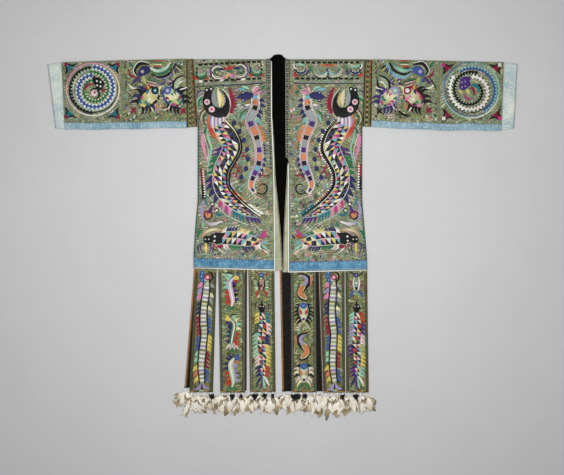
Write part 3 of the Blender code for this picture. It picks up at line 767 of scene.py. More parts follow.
def dashes(work, line, length, gap, width, colours, lift):
    # running stitches
    names = listed(colours)
    count = max(1, round((stepLengths(line).sum() + gap) / (length + gap)))
    for k in range(count):
        start = k / count
        satin(work, part(line, start, start + length / (length + gap) / count), width,
              names[k % len(names)], lift)


def mosaic(work, line, width, columns, cell, colours, base):
    # a body pieced from triangles, each sewn in its own colour
    length = stepLengths(line).sum()
    rows = max(2, round(length / cell))
    spine = resample(line, length / rows)
    half = along(width, len(spine)) / 2
    side = leftOf(spine)
    grid = [[spine[i] + side[i] * half[i] * (2 * j / columns - 1) for j in range(columns + 1)]
            for i in range(rows + 1)]
    index = 0
    for i in range(rows):
        for j in range(columns):
            a, b, c, d = grid[i][j], grid[i][j + 1], grid[i + 1][j + 1], grid[i + 1][j]
            for corners in ((a, b, d), (b, c, d)):
                middle = sum(corners) / 3
                shape = [middle + (p - middle) * 0.93 for p in corners]
                if half[i] > 1.2:
                    fill(work, shape, colours[index % len(colours)], 0.45, base)
                index += 1


def banded(work, line, width, bands):
    # bars of colour across a body, each with its share of the length
    start = 0
    total = sum(share for _, share in bands)
    for name, share in bands:
        stop = start + share / total
        if name:
            run = part(line, start, stop)
            if len(run) < 3:
                run = resample(run, np.hypot(*(run[-1] - run[0])) / 2)
            wide = along(width, 101)[int(start * 100):int(stop * 100) + 1]
            satin(work, run, wide, name, 0.45, 0.1)
        start = stop


def claw(work, centre, size, colour, turn, count):
    # a small curled claw: a bow with curved fingers outside it
    centre = np.array(centre, float)
    satin(work, coil(centre, (size * 0.3, size * 0.3), (turn - 95, turn + 95), 2),
          [1, size * 0.18, size * 0.18, 1], colour, 0.5)
    for k in range(count):
        way = unit(turn + 52 * (k - (count - 1) / 2))
        leaf(work, centre + way * size * 0.25, centre + way * size, size * 0.2, colour, 0.4, 0.5, 0.0, True)


groundTints = {
    "front": (["sage", "olive", "cream", "blush", "mint", "lilac", "moss", "orange", "grey", "lime",
               "white", "pink", "brown", "copper"],
              [0.24, 0.14, 0.15, 0.1, 0.08, 0.04, 0.05, 0.04, 0.05, 0.08, 0.03, 0.03, 0.09, 0.05]),
    "yoke": (["sage", "cream", "mint", "blush", "olive", "grey", "brown"],
             [0.3, 0.14, 0.1, 0.1, 0.22, 0.08, 0.12]),
    "square": (["olive", "sage", "lime", "cream", "blush", "brown", "mint", "lilac"],
               [0.22, 0.16, 0.28, 0.1, 0.07, 0.13, 0.04, 0.04]),
    "strip": (["olive", "lime", "sage", "brown", "cream", "mint", "copper"],
              [0.28, 0.26, 0.14, 0.16, 0.09, 0.05, 0.05]),
    "field": (["sage", "cream", "mint", "white", "blush"], [0.4, 0.24, 0.18, 0.1, 0.08]),
}
groundFlow = {
    "density": 0.13,  # stitches for each square millimetre
    "patch": 150,  # square millimetres of one colour
    "sway": 14, "swayLength": 31, "fold": 9, "foldLength": 23, "foldSlant": 40, "row": 8,
    # the lightness of the rows: painted shade in the hollows between rows, together with the ground's own
    # banded colour
    "darkest": 0.34, "lightest": 1.4,
    "reach": (2.2, 4.8), "aside": (0.7, 1.15),  # half the length and the width of a stitch
}


def groundStitches(work, node, tints, inset=0.0, field=None):
    # the fine stitching between the figures: short darts in flowing rows, in small patches of one colour each
    piece, flow = readPiece(node), groundFlow
    low, high = [np.array(corner[:2]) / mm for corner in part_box(node)]
    area = shoelace(piece) / mm ** 2
    count = round(area * flow["density"])
    spots = planPoint(piece, chance.uniform(inset, 1 - inset, count), chance.uniform(0.004, 0.996, count))
    seeds = chance.uniform(low, high, (max(12, round(area / flow["patch"])), 2))

    def pick(label):
        names, weights = groundTints[label]
        return knownDyes(names)[chance.choice(len(names), len(seeds), p=np.array(weights) / sum(weights))]
    seedDyes = pick(tints)
    if field:
        within = np.hypot(*(seeds - field[0]).T) < field[1]
        seedDyes[within] = pick("field")[within]
    nearest = np.concatenate([np.argmin(((chunk[:, None] - seeds) ** 2).sum(axis=2), axis=1)
                              for chunk in np.array_split(spots, max(1, count // 1500))])
    x, y = spots.T
    fold = y / flow["foldLength"] + x / flow["foldSlant"]
    row = y + flow["sway"] * np.sin(x / flow["swayLength"]) + flow["fold"] * np.sin(fold)
    swayed = flow["sway"] / flow["swayLength"] * np.cos(x / flow["swayLength"])
    alongX = swayed + flow["fold"] / flow["foldSlant"] * np.cos(fold)
    alongY = 1 + flow["fold"] / flow["foldLength"] * np.cos(fold)
    tilt = np.arctan2(-alongX, alongY) + chance.uniform(-0.3, 0.3, count)
    reach = np.stack([np.cos(tilt), np.sin(tilt)], axis=1) * chance.uniform(*flow["reach"], count)[:, None]
    aside = np.stack([-np.sin(tilt), np.cos(tilt)], axis=1) * chance.uniform(*flow["aside"], count)[:, None]
    inside = np.array([all(work["tree"].ray_cast(Vector((*p * mm, 0.1)),
                                                 Vector((0, 0, -1)))[0] for p in pair)
                       for pair in zip(spots - reach, spots + reach)], bool)
    spots, reach, aside, nearest, row = [each[inside] for each in (spots, reach, aside, nearest, row)]
    count = len(spots)
    corners = np.stack([spots - reach, spots + reach - aside, spots + reach * 0.8 + aside,
                        spots + reach * 0.3], axis=1)
    points = np.dstack([corners, np.tile([-0.05, -0.08, -0.08, 0.26], (count, 1))]).reshape(-1, 3)
    pattern = np.array([(0, 1, 3), (1, 2, 3), (2, 0, 3), (0, 2, 1)])
    faces = (pattern[None] + 4 * np.arange(count)[:, None, None]).reshape(-1, 3)
    # rows darken and lighten in turn: painted shade between the rows of stitches, on top of the ground's own
    # banded colouring
    light = spread(flow["darkest"], flow["lightest"], 0.5 + 0.5 * np.sin(2 * np.pi * row / flow["row"]))
    shade = light[:, None] * chance.uniform(0.8, 1.15, (count, 1))
    dyed = np.hstack([seedDyes[nearest] * shade, np.ones((count, 1))])
    runs = np.tile([[0, 0], [0.6, 6], [-0.6, 6], [0, 3]], (count, 1))
    keep(work, points, faces.tolist(), np.repeat(dyed, 4, axis=0), runs)


def tufts(work, node, count, size, colours, inset=0.05):
    # small flame-shaped tufts of three stitches, wherever no figure lies
    sewn = np.vstack(work["points"][1:])
    tree = KDTree(len(sewn))
    for k, (x, y) in enumerate(sewn[:, :2]):
        tree.insert((x, y, 0), k)
    tree.balance()
    kept, work["place"] = work["place"], asDrawn
    for x, y in planPoint(readPiece(node), chance.uniform(inset, 1 - inset, count),
                          chance.uniform(0.02, 0.98, count)):
        turn = (60 + 50 * math.sin(x / 33 + y / 47) + 180 * int(chance.integers(2))) * (1 if x < 0 else -1)
        reach = size * chance.uniform(0.7, 1.3)
        colour = colours[chance.integers(len(colours))]
        ways = [unit(turn + a) for a in (0, -34, 34)]
        root = np.array([x, y]) - ways[0] * reach / 2
        if min(tree.find((*(root + ways[0] * reach * s), 0))[2] for s in (0, 0.5, 1)) > 4.2:
            for way, share in zip(ways, (1, 0.75, 0.6)):
                leaf(work, root, root + way * reach * share, reach * 0.3, colour, 0.15, 0.35, 0.1, True)
    work["place"] = kept


def finishWork(work, name, kinds=("thread",), node=None):
    points = np.vstack(work["points"])
    if work["tree"]:
        points[:, 2] += [castHeight(work["tree"], x, y) for x, y in points[:, :2]]
    mesh = bpy.data.meshes.new(name)
    mesh.from_pydata((points * mm).tolist(), [], work["faces"])
    for kind in kinds:
        mesh.materials.append(materials[kind])
    mesh.polygons.foreach_set("material_index", work["kinds"])
    dyed = mesh.attributes.new("thread", "FLOAT_COLOR", "POINT")
    dyed.data.foreach_set("color", np.vstack(work["dyes"]).ravel())
    cornerValues(mesh, "stitchRun", np.vstack(work["runs"]))
    dress(link(name, mesh), node)
    print(name, "triangles:", sum(len(face) - 2 for face in work["faces"]))


# the fronts: a crested dragon and a banded snake above a dragon fish, mirrored on the two sides

frontPlace = {"right": (-30, -1.0), "left": (24, 0.985), "foot": -67.5}


def onFront(half):
    start, turned = frontPlace[half]
    return lambda line: np.column_stack([start + turned * line[..., 0], frontPlace["foot"] + line[..., 1]])


def many(work, maker, rows):
    for row in rows:
        maker(work, *row)


def ribbons(work, rows, lift=0.5):
    for points, width, colour in rows:
        satin(work, curve(points), width, colour, lift)


def hoops(work, rows):
    for centre, radii, angles, width, colour in rows:
        satin(work, coil(centre, radii, angles), width, colour, 0.5)


patchwork = ["black", "pink", "sky", "black", "yellow", "navy", "white", "black", "pink", "navy", "sky",
             "cream", "black", "navy", "yellow", "magenta", "black", "white", "navy"]

dragonSpine = [(160, 400), (134, 360), (123, 330), (135, 300), (153, 262), (155, 218), (139, 186),
               (106, 156), (74, 136), (36, 121)]
dragonGirth = [44, 56, 54, 48, 46, 45, 43, 36, 25, 5]
dragonFins = [  # where along the body, how many, length, colour
    (0.16, 0.33, 4, 34, "purple"), (0.33, 0.47, 4, 24, "green"), (0.48, 0.64, 4, 27, "navy"),
    (0.65, 0.76, 4, 30, ["magenta", "pink"]), (0.77, 0.87, 4, 26, "teal"), (0.88, 0.99, 4, 23, "purple"),
]


def dragon(work, half):
    spine = curve(dragonSpine)
    girth = along(dragonGirth, len(spine))
    outer, inner = shift(spine, girth / 2), shift(spine, -girth / 2)
    for start, stop, count, length, colour in dragonFins:
        run = part(outer, start, stop)
        fins(work, run, count, length * 1.15, colour, 1, 0.55, 0.05)
    fins(work, part(inner, 0.66, 0.8), 6, 17, ["orange", "orange", "cream"], -1, 0.8)
    fins(work, part(inner, 0.84, 0.99), 5, 20, "white" if half == "right" else "teal", -1, 0.8)
    fins(work, part(inner, 0.5, 0.64), 5, 18, ["lilac", "white", "lilac", "grey"], -1, 0.8)
    mosaic(work, shift(spine, 2), girth - 8, 3, 14.5, patchwork, 0.15)
    satin(work, outer, 2.4, ["cream", "blush", "white", "mint"], 0.5, 0.2)
    satin(work, inner, [4, 15, 15, 14, 12, 3], "cream", 0.12, 0.15)
    if half == "right":
        satin(work, shift(inner, 3.5), [2, 6.4, 6.4, 6, 5, 2], "black", 0.3, 0.5)
        satin(work, shift(inner, -3.5), [2, 6.4, 6.4, 6, 5, 2], "black", 0.3, 0.5)
    else:
        satin(work, shift(inner, -6.5), [2, 7, 7, 7, 5, 2], "white", 0.3, 0.1)
        satin(work, inner, [3, 8, 8, 8, 6, 3], "black", 0.3, 0.5)
        teeth(work, shift(inner, -3), 7.5, 7, "black", -1, 0.35)
    # collar and the hackles outside it
    for k in range(8):
        leaf(work, (182 - k * 5, 431), (184 - k * 6.2, 386 - 6 * math.sin(k * 0.4)), 9,
             ("lilac", "white", "lilac", "blush")[k % 4], 0.05)
    ribbons(work, [
        ([(188, 432), (192, 402), (178, 372), (152, 346)], [3, 11, 19, 4], ["orange", "rust", "orange"]),
        ([(207, 386), (210, 352), (203, 314), (197, 288)], [2, 12, 10, 2], "pink"),
        ([(198, 388), (192, 356), (183, 328), (190, 290), (197, 250)], [2, 7, 6, 4, 1], "mint"),
        ([(208, 384), (201, 350), (192, 318), (197, 280)], 1.8, "white"),
        ([(198, 191), (172, 160), (143, 131), (108, 112), (72, 97)], [1.5, 3, 3, 1.5],
         ["white", "mint", "white"]),
        ([(206, 394), (217, 414), (212, 436), (200, 448)], [2, 6, 6, 2], "brown"),
        ([(205, 392), (215, 412), (210, 432), (197, 442)], [2, 4, 4, 1], "cream"),
        ([(198, 392), (207, 410), (203, 428), (192, 436)], [2, 6, 6, 2], "moss"),
        ([(228, 476), (224, 493), (213, 500), (201, 496)], [1.5, 4.5, 4, 1.5], "purple"),
        ([(224, 452), (224, 472), (212, 484), (203, 482)], [1, 5, 4, 1.5], "mint"),
    ])
    many(work, leaf, [((214, 370), (198, 392), 10, "green", 0.2),
                      ((219, 450), (207, 480), 9, "green", -0.3)])
    # head: one sweep from the snout round to the tip of the horn
    sweep = curve([(190, 500), (196, 474), (190, 450), (174, 436), (153, 433), (139, 447), (135, 468),
                   (142, 488), (153, 504)])
    satin(work, sweep, [20, 27, 31, 33, 36, 26, 13, 7, 1.5], "black", 0.7, 0.1)
    satin(work, shift(part(sweep, 0.5, 1), [22, 9, 3]), 2.4, ["blush", "white"], 0.4)
    many(work, disc, [((197, 502), 7.5, "black", 0.6), ((184, 505), 7, "black", 0.6)])
    for centre, radius in (((196, 466), 9), ((182, 444), 9.5)):
        disc(work, centre, radius, "blush", 0.4, 0.75)
        disc(work, centre, radius * 0.62, "pink", 0.3, 1.0)
        disc(work, centre, radius * 0.28, "purple", 0.3, 1.2)
    many(work, disc, [((197, 502), 3.2, "white", 0.3, 0.7), ((184, 505), 3.2, "white", 0.3, 0.7)])
    for start, end, width, colour, bend in (
            ((166, 452), (176, 500), 15, "grey", -0.1), ((158, 450), (164, 506), 15, "cream", 0.05),
            ((150, 450), (155, 494), 9, "yellow", 0.1), ((146, 456), (147, 482), 5, "grey", 0.1)):
        leaf(work, start, end, width, colour, bend, 0.5)
    comb = curve([(131, 507), (123, 482), (120, 456), (127, 432)])
    satin(work, comb, [3, 11, 12, 5], "crimson", 0.6, 0.1)
    fins(work, shift(comb, [1, -4, -5, -2]), 10, [9, 13, 13, 9], "crimson", -1, -0.1)


def snake(work, half):
    spine = curve([(52, 486), (51, 454), (61, 428), (66, 404), (51, 372), (42, 338), (39, 307), (43, 275),
                   (58, 241), (64, 214), (52, 192)])
    girth = along([20, 27, 27, 29, 28, 26, 25, 24, 22, 18, 9], len(spine))
    outer, inner = shift(spine, girth / 2), shift(spine, -girth / 2)
    for start, stop, count, length, colour in (
            (0.03, 0.2, 4, 15, "navy"), (0.2, 0.3, 4, 16, ["mint", "sky"]), (0.34, 0.48, 5, 13, "orange"),
            (0.5, 0.6, 4, 8, "green" if half == "left" else "navy"), (0.62, 0.8, 4, 9, "navy")):
        fins(work, part(inner, start, stop), count, length * 1.3, colour, -1, 0.4)
    satin(work, spine, girth, ["blush", "grey", "blush", "lilac", "blush"], 0.12, 0.05)
    banded(work, spine, girth * 0.62, [
        ("sky", 0.7), ("orange", 1.0), (None, 0.1), ("black", 0.8), ("grey", 2.1), (None, 0.1),
        ("purple", 0.9), (None, 0.2), ("orange", 1.5), (None, 0.1), ("black", 0.8), (None, 0.1),
        ("grey", 1.3), ("purple", 0.9), (None, 0.2), ("orange", 1.2), (None, 0.1), ("black", 0.8),
        (None, 0.1), ("sky", 0.8), (None, 0.1), ("purple", 0.9), (None, 0.2), ("black", 0.8), (None, 0.1),
        ("orange", 1.2), (None, 0.1), ("navy", 0.7), (None, 0.4)])
    for edge in (outer, inner):
        satin(work, edge, 2.8, ["white", "blush", "blush", "white"], 0.5)
    ribbons(work, [
        ([(42, 496), (38, 480), (40, 466), (38, 454)], 2.8, "blush"),
        ([(68, 208), (56, 186), (30, 177)], [2, 3, 1.5], "blush"),
        ([(98, 416), (92, 432), (76, 444)], [2, 8, 2], "green"),
        ([(94, 404), (88, 420), (75, 432)], [2, 8, 2], ["mint", "sky"]),
    ])
    satin(work, curve([(58, 484), (70, 485), (84, 484), (98, 481), (108, 479)]), [14, 24, 25, 16, 1.5],
          "navy", 0.7, 0.1)
    for spot in ((88, 494), (88, 471)):
        disc(work, spot, 5.6, "navy", 0.6, 0.1)
        disc(work, spot, 2.4, "blush", 0.3, 0.6)
    many(work, leaf, [
        ((60, 462), (47, 480), 9, "black", 0.1), ((58, 492), (40, 512), 8, "pink"),
        ((54, 490), (31, 498), 8, "pink"), ((60, 495), (52, 514), 7, "blush"),
        ((34, 503), (22, 516), 9, "green"), ((68, 503), (92, 512), 8, "mint", 0.1),
        ((78, 499), (108, 504), 8, "sky", 0.1), ((66, 458), (84, 456), 7, "white"),
        ((70, 452), (90, 446), 6, "lilac")])
    satin(work, coil((31, 209), (21, 8), (-37, -340)), [3, 5.5, 5, 2], "black", 0.6)
    claw(work, (30, 238), 27, "crimson", 70, 3)
    # the leafy string of half rounds between snake and dragon
    string = curve([(116, 410), (95, 379), (80, 347), (70, 315), (71, 281), (84, 248), (104, 226)])
    dashes(work, string, 16, 3, [3, 8, 3], ["olive", "lime"], 0.4)
    for k in range(7):
        spot = part(string, (k + 0.3) / 7, 1)[0]
        disc(work, spot + (4, 0), 7, "navy", 0.5, 0.1, 1.2, 15)
    claw(work, (94, 309), 22, "crimson", 180, 5)
    claw(work, (112, 262), 29, "crimson", 180, 5)


def dragonFish(work, half):
    spine = curve([(152, 57), (112, 58), (72, 51), (34, 45)])
    girth = along([36, 42, 36, 16], len(spine))
    lower, upper = shift(spine, girth / 2), shift(spine, -girth / 2)
    for edge, side, rows in (
            (upper, -1, ((0.0, 0.12, 2, 14, "white"), (0.1, 0.36, 5, 15, "navy"),
                         (0.38, 0.62, 5, 15, ["yellow", "cream"]), (0.64, 0.98, 5, 14, "green"))),
            (lower, 1, ((0.0, 0.14, 3, 17, ["white", "blush"]), (0.16, 0.5, 6, 15, "green"),
                        (0.52, 0.8, 5, 16, "navy"), (0.84, 0.98, 3, 15, ["blush", "white"])))):
        for start, stop, count, length, colour in rows:
            fins(work, part(edge, start, stop), max(2, count - 1), length * 1.35, colour, side, 0.55, 0.1)
    mosaic(work, shift(spine, girth / 4), girth / 2 - 1, 1, 15, patchwork[2:] + ["magenta"], 0.1)
    mosaic(work, shift(spine, -girth / 4), girth / 2 - 1, 1, 15, patchwork, 0.1)
    for edge in (upper, lower, spine):
        satin(work, edge, 2.2, ["white", "cream"], 0.5, 0.1)
    satin(work, curve([(202, 54), (188, 55), (172, 58), (150, 57)]), [20, 20, 38, 30], "black", 0.7, 0.1)
    disc(work, (196, 54), 11.5, "black", 0.7, 0.1)
    for spot, radius in (((173, 63), 3.4), ((174, 50), 3.4), ((201, 55), 2.3), ((191, 55), 2.3)):
        disc(work, spot, radius, "white", 0.3, 0.85)
    ribbons(work, [
        ([(213, 60), (198, 77), (173, 84), (146, 79)], [4, 9, 9, 3], ["orange", "cream", "orange"]),
        ([(178, 40), (162, 31), (144, 38)], [4, 13, 7], "crimson"),
        ([(195, 46), (184, 32), (190, 13)], [2, 5, 2], "purple"),
        ([(205, 46), (216, 32), (209, 13)], [2, 5, 2], "purple"),
        ([(188, 44), (176, 30), (182, 12)], [1, 3, 1], "black"),
        ([(212, 44), (224, 32), (219, 12)], [2, 5, 2], "navy"),
        ([(172, 38), (154, 20), (140, 12)], [4, 4, 1], "white"),
    ])
    many(work, leaf, [
        ((200, 47), (199, 13), 9, "yellow"), ((224, 56), (206, 84), 11, "green", -0.2),
        ((42, 60), (18, 84), 12, "magenta", 0.1), ((66, 66), (34, 66), 10, "lilac"),
        ((40, 54), (14, 70), 10, "magenta" if half == "right" else "rust"), ((34, 40), (12, 22), 8, "mint"),
        ((34, 44), (14, 46), 9, "sky"), ((30, 26), (8, 8), 7, "blush"), ((210, 90), (208, 108), 8, "mint")])


def cornerFlower(work):
    satin(work, coil((193, 127), (12, 12), (0, 354)), 5.5, ["crimson", "black"], 0.5)
    disc(work, (193, 127), 8.5, "orange", 0.4)
    ribbons(work, [
        ([(197, 128), (186, 142), (180, 156)], [4, 13, 5], "purple"),
        ([(197, 192), (201, 172), (192, 153)], [2, 7, 3], "teal"),
        ([(178, 136), (160, 128), (142, 131)], [3, 9, 2], "teal"),
        ([(207, 172), (212, 140), (206, 110)], [3, 12, 4], "lilac"),
        ([(206, 108), (182, 100), (150, 108)], [3, 12, 4], ["lilac", "white"]),
    ], 0.4)
    for spot in ((180, 160), (167, 141)):
        satin(work, coil(spot, (6.5, 5), (0, 300)), 3, "black", 0.5, 0.1)
        disc(work, spot, 3.6, "white", 0.4, 0.1)


def edging(work, node, side, start, stop, offset, width, colours, length, gap):
    # a dotted trim that follows one side of a panel, in the wearer's own place
    piece = readPiece(node)
    middle = planPoint(piece, np.array([0.5]), np.array([0.5]))[0]
    line = resample(piece[side], 4)
    towards = 1 if np.dot(leftOf(line)[len(line) // 2], middle - line[len(line) // 2]) > 0 else -1
    dashes(work, part(shift(line, offset * towards), start, stop), length, gap, width, colours, 0.4)


for half in halves:
    work = startWork("front_" + half, onFront(half))
    groundStitches(work, "front_" + half, "front")
    dragon(work, half)
    snake(work, half)
    dragonFish(work, half)
    cornerFlower(work)
    high, low = ((213, 266), (206, 174)) if half == "right" else ((213, 282), (211, 202))
    saw = resample(np.array([high, low], float), 4)
    satin(work, shift(saw, -3), 8, "white", 0.3)
    for start, colour in ((0, "crimson"), (0.5, "black")):
        teeth(work, part(saw, start, start + 0.5), 7.5, 8, colour, -1, 0.3)
        satin(work, shift(part(saw, start, start + 0.5), 1.5), 5.5, colour, 0.4, 0.3)
    tufts(work, "front_" + half, 700, 11,
          ["green", "navy", "moss", "purple", "teal", "mint", "orange", "cream", "pink", "brown",
                                          "white", "lilac", "sky", "green"])
    finishWork(work, half + "FrontEmbroidery")


# the shoulder friezes

def onPanel(centre, turned=1):
    return lambda line: np.column_stack([centre[0] + turned * line[..., 0], centre[1] + line[..., 1]])


def frieze(work, half):
    slope = 10 / 200 if half == "right" else 0.0

    def tilt(points):
        return [(a, b - (a - 30) * slope) for a, b in points]
    near, far = (34, 226) if half == "right" else (14, 214)
    top, foot = (587, 537) if half == "right" else (584, 536)
    for level, colours in ((top, ["black"]),
                           (foot, ["black", "black", "black", "white"] if half == "right" else ["black"])):
        dashes(work, np.array(tilt([(near, level), (far, level)])), 11.5, 5, 7, colours, 0.5)
    for end in (near, far):
        dashes(work, np.array(tilt([(end, top - 8), (end, foot + 8)])), 8, 6, 6, "black", 0.5)
    middle = (near + far) / 2
    for level, width, colour in ((522, 3.4, ["navy", "moss"]), (526.5, 1.6, "grey"), (590.5, 2.2, "moss")):
        line = [(near - 6, level), (middle, level - 1), (far + 8, level - 0.5)]
        satin(work, curve(tilt(line), 5), width, colour, 0.4)
    for way in (-1, 1):
        for aside, radius in ((18, 31), (83, 22)):
            arc = coil((middle + way * aside, 566 - (middle + way * aside - 30) * slope), (radius, radius),
                       (195, 345))
            satin(work, arc, [1, 3, 3, 1], "black", 0.45)
        a, e = middle + way * 33, middle + way * 83
        b, f = 562 - (a - 30) * slope, 562 - (e - 30) * slope
        turn = 90 - way * 90
        if half == "right":
            hoops(work, [
                ((a, b), (20, 17), (turn - 130, turn + 130), [2, 4, 4, 2], "white"),
                ((a, b), (25, 22), (turn - 120, turn + 120), [1.5, 3.4, 3.4, 1.5], ["crimson", "purple"]),
                ((a, b + 2), (12, 4), (turn - 100, turn + 230), [3, 4, 2], ["black", "green"])])
            many(work, leaf, [((a + way * 4, b + 8), (a - way * 22, b + 9), 9, "navy"),
                              ((a - way * 26, b - 8), (a - way * 8, b - 22), 7, "pink"),
                              ((a - way * 30, b + 6), (a - way * 14, b + 16), 7, "rust")])
            hoops(work, [((e, f + 3), (17, 17), (180, 360), [3, 7, 3], "green"),
                         ((e, f + 4), (10, 10), (180, 360), [2, 5, 2], "mint")])
            disc(work, (e, f + 6), 3.6, "pink")
            for side in (-1, 1):
                fill(work, [(e + side * 8, f - 19), (e + side * 22, f - 20), (e + side * 21, f - 9)],
                     "rust", 0.5)
            leaf(work, (e - way * 26, f - 16), (e - way * 24, f + 18), 6, "navy", 0.2)
            leaf(work, (e - way * 20, f - 16), (e - way * 30, f + 14), 5, "lilac", -0.2)
        else:
            c = a * 0.55 + middle * 0.45
            hoops(work, [
                ((c, b + 4), (21, 21), (185, 355), [2, 5, 2], ["teal", "white"]),
                ((c, b + 5), (15, 15), (185, 355), [2, 4, 2], ["mint", "navy"]),
                ((c, b + 5), (26, 26), (200, 340), [1, 3, 1], "cream"),
                ((e, f + 6), (16, 16), (185, 355), [3, 9, 3], "navy")])
            for k in range(3):
                disc(work, (e - 8 + 8 * k, f - 6 + abs(k - 1) * 2.5), 2, "white", 0.4, 0.4)
            leaf(work, (e - way * 16, f + 10), (e + way * 18, f + 18), 7, "mint", -0.1)
            leaf(work, (e + way * 14, f - 2), (e + way * 22, f + 20), 6, "white")
            fill(work, [(e + way * 6, f - 20), (e + way * 23, f - 21), (e + way * 21, f - 3)], "rust", 0.5)
            leaf(work, (e - way * 18, f - 18), (e - way * 27, f + 2), 8, "purple", 0.1)
            leaf(work, (e - way * 30, f + 16), (e - way * 24, f - 14), 5, "green", 0.1)
    b = 562 - (middle - 30) * slope
    if half == "right":
        many(work, leaf, [((middle, b + 2), (middle, b + 20), 12, "rust"),
                          ((middle, b - 2), (middle - 10, b - 21), 8, "pink"),
                          ((middle, b - 2), (middle + 10, b - 21), 8, "yellow"),
                          ((middle - 9, b), (middle + 9, b), 8, "green")])
    else:
        wave = [(middle - 27 + 9 * k, b + 13 + (3 if k % 2 else -1)) for k in range(7)]
        satin(work, curve(wave), [3, 6.5, 6.5, 3], ["orange", "rust", "orange"], 0.5)
        many(work, leaf, [((middle, b + 6), (middle, b - 21), 9, "navy"),
                          ((middle - 3, b - 4), (middle - 13, b - 20), 6, "mint"),
                          ((middle + 3, b - 4), (middle + 13, b - 20), 6, "mint")])


for half in halves:
    work = startWork("yoke_" + half, onFront(half))
    groundStitches(work, "yoke_" + half, "yoke")
    frieze(work, half)
    tufts(work, "yoke_" + half, 240, 8, ["moss", "navy", "green", "purple", "mint", "cream"])
    finishWork(work, half + "YokeEmbroidery")


# the sleeve squares: a coiled serpent, and a bird above two fish

medallions = {
    "right": {"centre": (-568, 436), "radius": 79,
              "rim": ["white", "cream", "pink", "pink", "blush", "white"],
              "corner": ["black", "teal", "navy", "crimson"]},
    "left": {"centre": (565.5, 434.5), "radius": 84,
             "rim": ["white", "mint", "mint", "teal", "blue", "sky", "mint", "white"],
             "corner": ["black", "crimson", "black", "white"]},
}


def corners(work, half, low, high):
    black, second, third, square = medallions[half]["corner"]
    for x, wayX in ((low[0], 1), (high[0], -1)):
        for y, wayY in ((low[1], 1), (high[1], -1)):
            def spot(u, v):
                return (x + wayX * u, y + wayY * v)
            bend = 0.25 * wayX * wayY
            leaf(work, spot(6, 12), spot(6, 40), 8, black, -bend)
            leaf(work, spot(12, 6), spot(42, 6), 8, black, bend)
            leaf(work, spot(9, 12), spot(17, 32), 12, second, -bend)
            leaf(work, spot(12, 9), spot(34, 16), 12, second, bend)
            leaf(work, spot(12, 14), spot(24, 22), 10, third)
            tint = square if half == "right" or wayX * wayY > 0 else "magenta"
            fill(work, [spot(4, 4), spot(15, 4), spot(15, 15), spot(4, 15)], tint, 0.5, 0.1)


def sawRing(work, radii, angles, pitch, outside, inside, colour, under):
    # a spiral of thin line with saw teeth on its two sides, over a paler band
    line = coil((0, 0), radii, angles)
    satin(work, shift(line, (inside - outside) / 2), outside + inside + 3, under, 0.2)
    satin(work, line, 4.6, colour, 0.5, 0.2)
    for side, height in ((-1, outside), (1, inside)):
        if height:
            teeth(work, shift(line, side * 1.6), pitch, height, colour, side, 0.2)


def serpentRight(work):
    hoops(work, [
        ((0, 0), (62, 76), (180, 372), [2, 3.4, 3.4, 2], "black"),
        ((0, 0), (57, 70), (178, 372), [2, 3, 3, 2], ["mint", "white"]),
        ((0, 0), (60, 59), (92, 180), 2.4, ["mint", "white"])])
    sawRing(work, (68, 70, 72), (94, 270), 11, 0, 9, "black", "sage")
    sawRing(work, (42, 44, 53, 60, 68), (-270, 90), 11.5, 7, 7, "blue", "white")
    sawRing(work, (28, 27, 37, 47, 54), (-280, 100), 10, 4, 7.5, "green", "cream")
    satin(work, coil((0, 0), (35, 34, 45, 53, 61), (-275, 95)), 1.6, "white", 0.4, 0.3)
    many(work, disc, [((14, 24), 13, "black", 0.7, 0.3), ((20, 9), 12, "black", 0.7, 0.3),
                      ((24, 17), 11, "black", 0.7, 0.3)])
    leaf(work, (8, 24), (5, 41), 12, "black", 0.2, 0.6, 0.2)
    for spot in ((12, 25), (23, 22), (13, 12), (23, 9)):
        disc(work, spot, 3.2, "white", 0.3, 1.05)
    satin(work, curve([(2, 17), (-14, 14), (-23, 3), (-21, -8)]), [3, 8, 8, 1.5], "crimson", 0.6, 0.2)
    leaf(work, (24, -6), (40, 0), 9, "crimson", 0, 0.5, 0.2)
    disc(work, (4, -12), 9.5, "blush", 0.4, 0.2)
    disc(work, (6, -9), 4, "crimson", 0.4, 0.5)
    satin(work, coil((4, -12), (14, 15), (165, 60)), [1.5, 4, 6], "black", 0.6, 0.2)
    satin(work, coil((4, -13), (15, 16), (50, -90)), [6, 6, 1.5], "black", 0.6, 0.2)


def serpentLeft(work):
    hoops(work, [
        ((0, 0), (80, 77), (165, 300), [1.5, 3.6, 2], ["navy", "blue"]),
        ((0, 0), (75, 66), (176, 320), [1.5, 2.8, 2.8, 1.5], "black"),
        ((0, 0), (77, 76), (-60, 165), 2, ["sky", "mint"])])
    sawRing(work, (70, 69, 65, 62), (-60, 122), 9.5, 8, 0, "blue", "mint")
    sawRing(work, (66, 61, 57, 46, 39), (140, 450), 11, 8, 5, ["white", "white", "blush", "blush", "white"],
            "moss")
    sawRing(work, (55, 54, 49, 38, 26), (70, 400), 9.5, 4, 8, "black", "sage")
    many(work, disc, [((-20, 26), 14, "purple", 0.7, 0.3), ((-24, 12), 13, "purple", 0.7, 0.3),
                      ((-12, 18), 10, "purple", 0.7, 0.3)])
    leaf(work, (-14, 26), (-4, 40), 14, "purple", 0, 0.6, 0.3)
    for spot in ((-28, 23), (-18, 25), (-28, 8), (-18, 11)):
        disc(work, spot, 2.8, "lilac", 0.3, 1.05)
    for points, width, colour in (([(-4, 14), (10, 14), (21, 6), (22, -8)], [3, 10, 9, 2], "teal"),
                                  ([(-8, 6), (4, 4), (9, -8), (4, -18)], [3, 8, 8, 2], "crimson"),
                                  ([(-20, -12), (-16, -24), (-4, -27), (2, -20)], [3, 8, 7, 2], "magenta")):
        satin(work, curve(points), width, colour, 0.6, 0.2)
    many(work, leaf, [((-16, 2), (-4, -12), 9, "yellow"), ((-40, -4), (-26, -12), 8, "yellow", 0.2)])


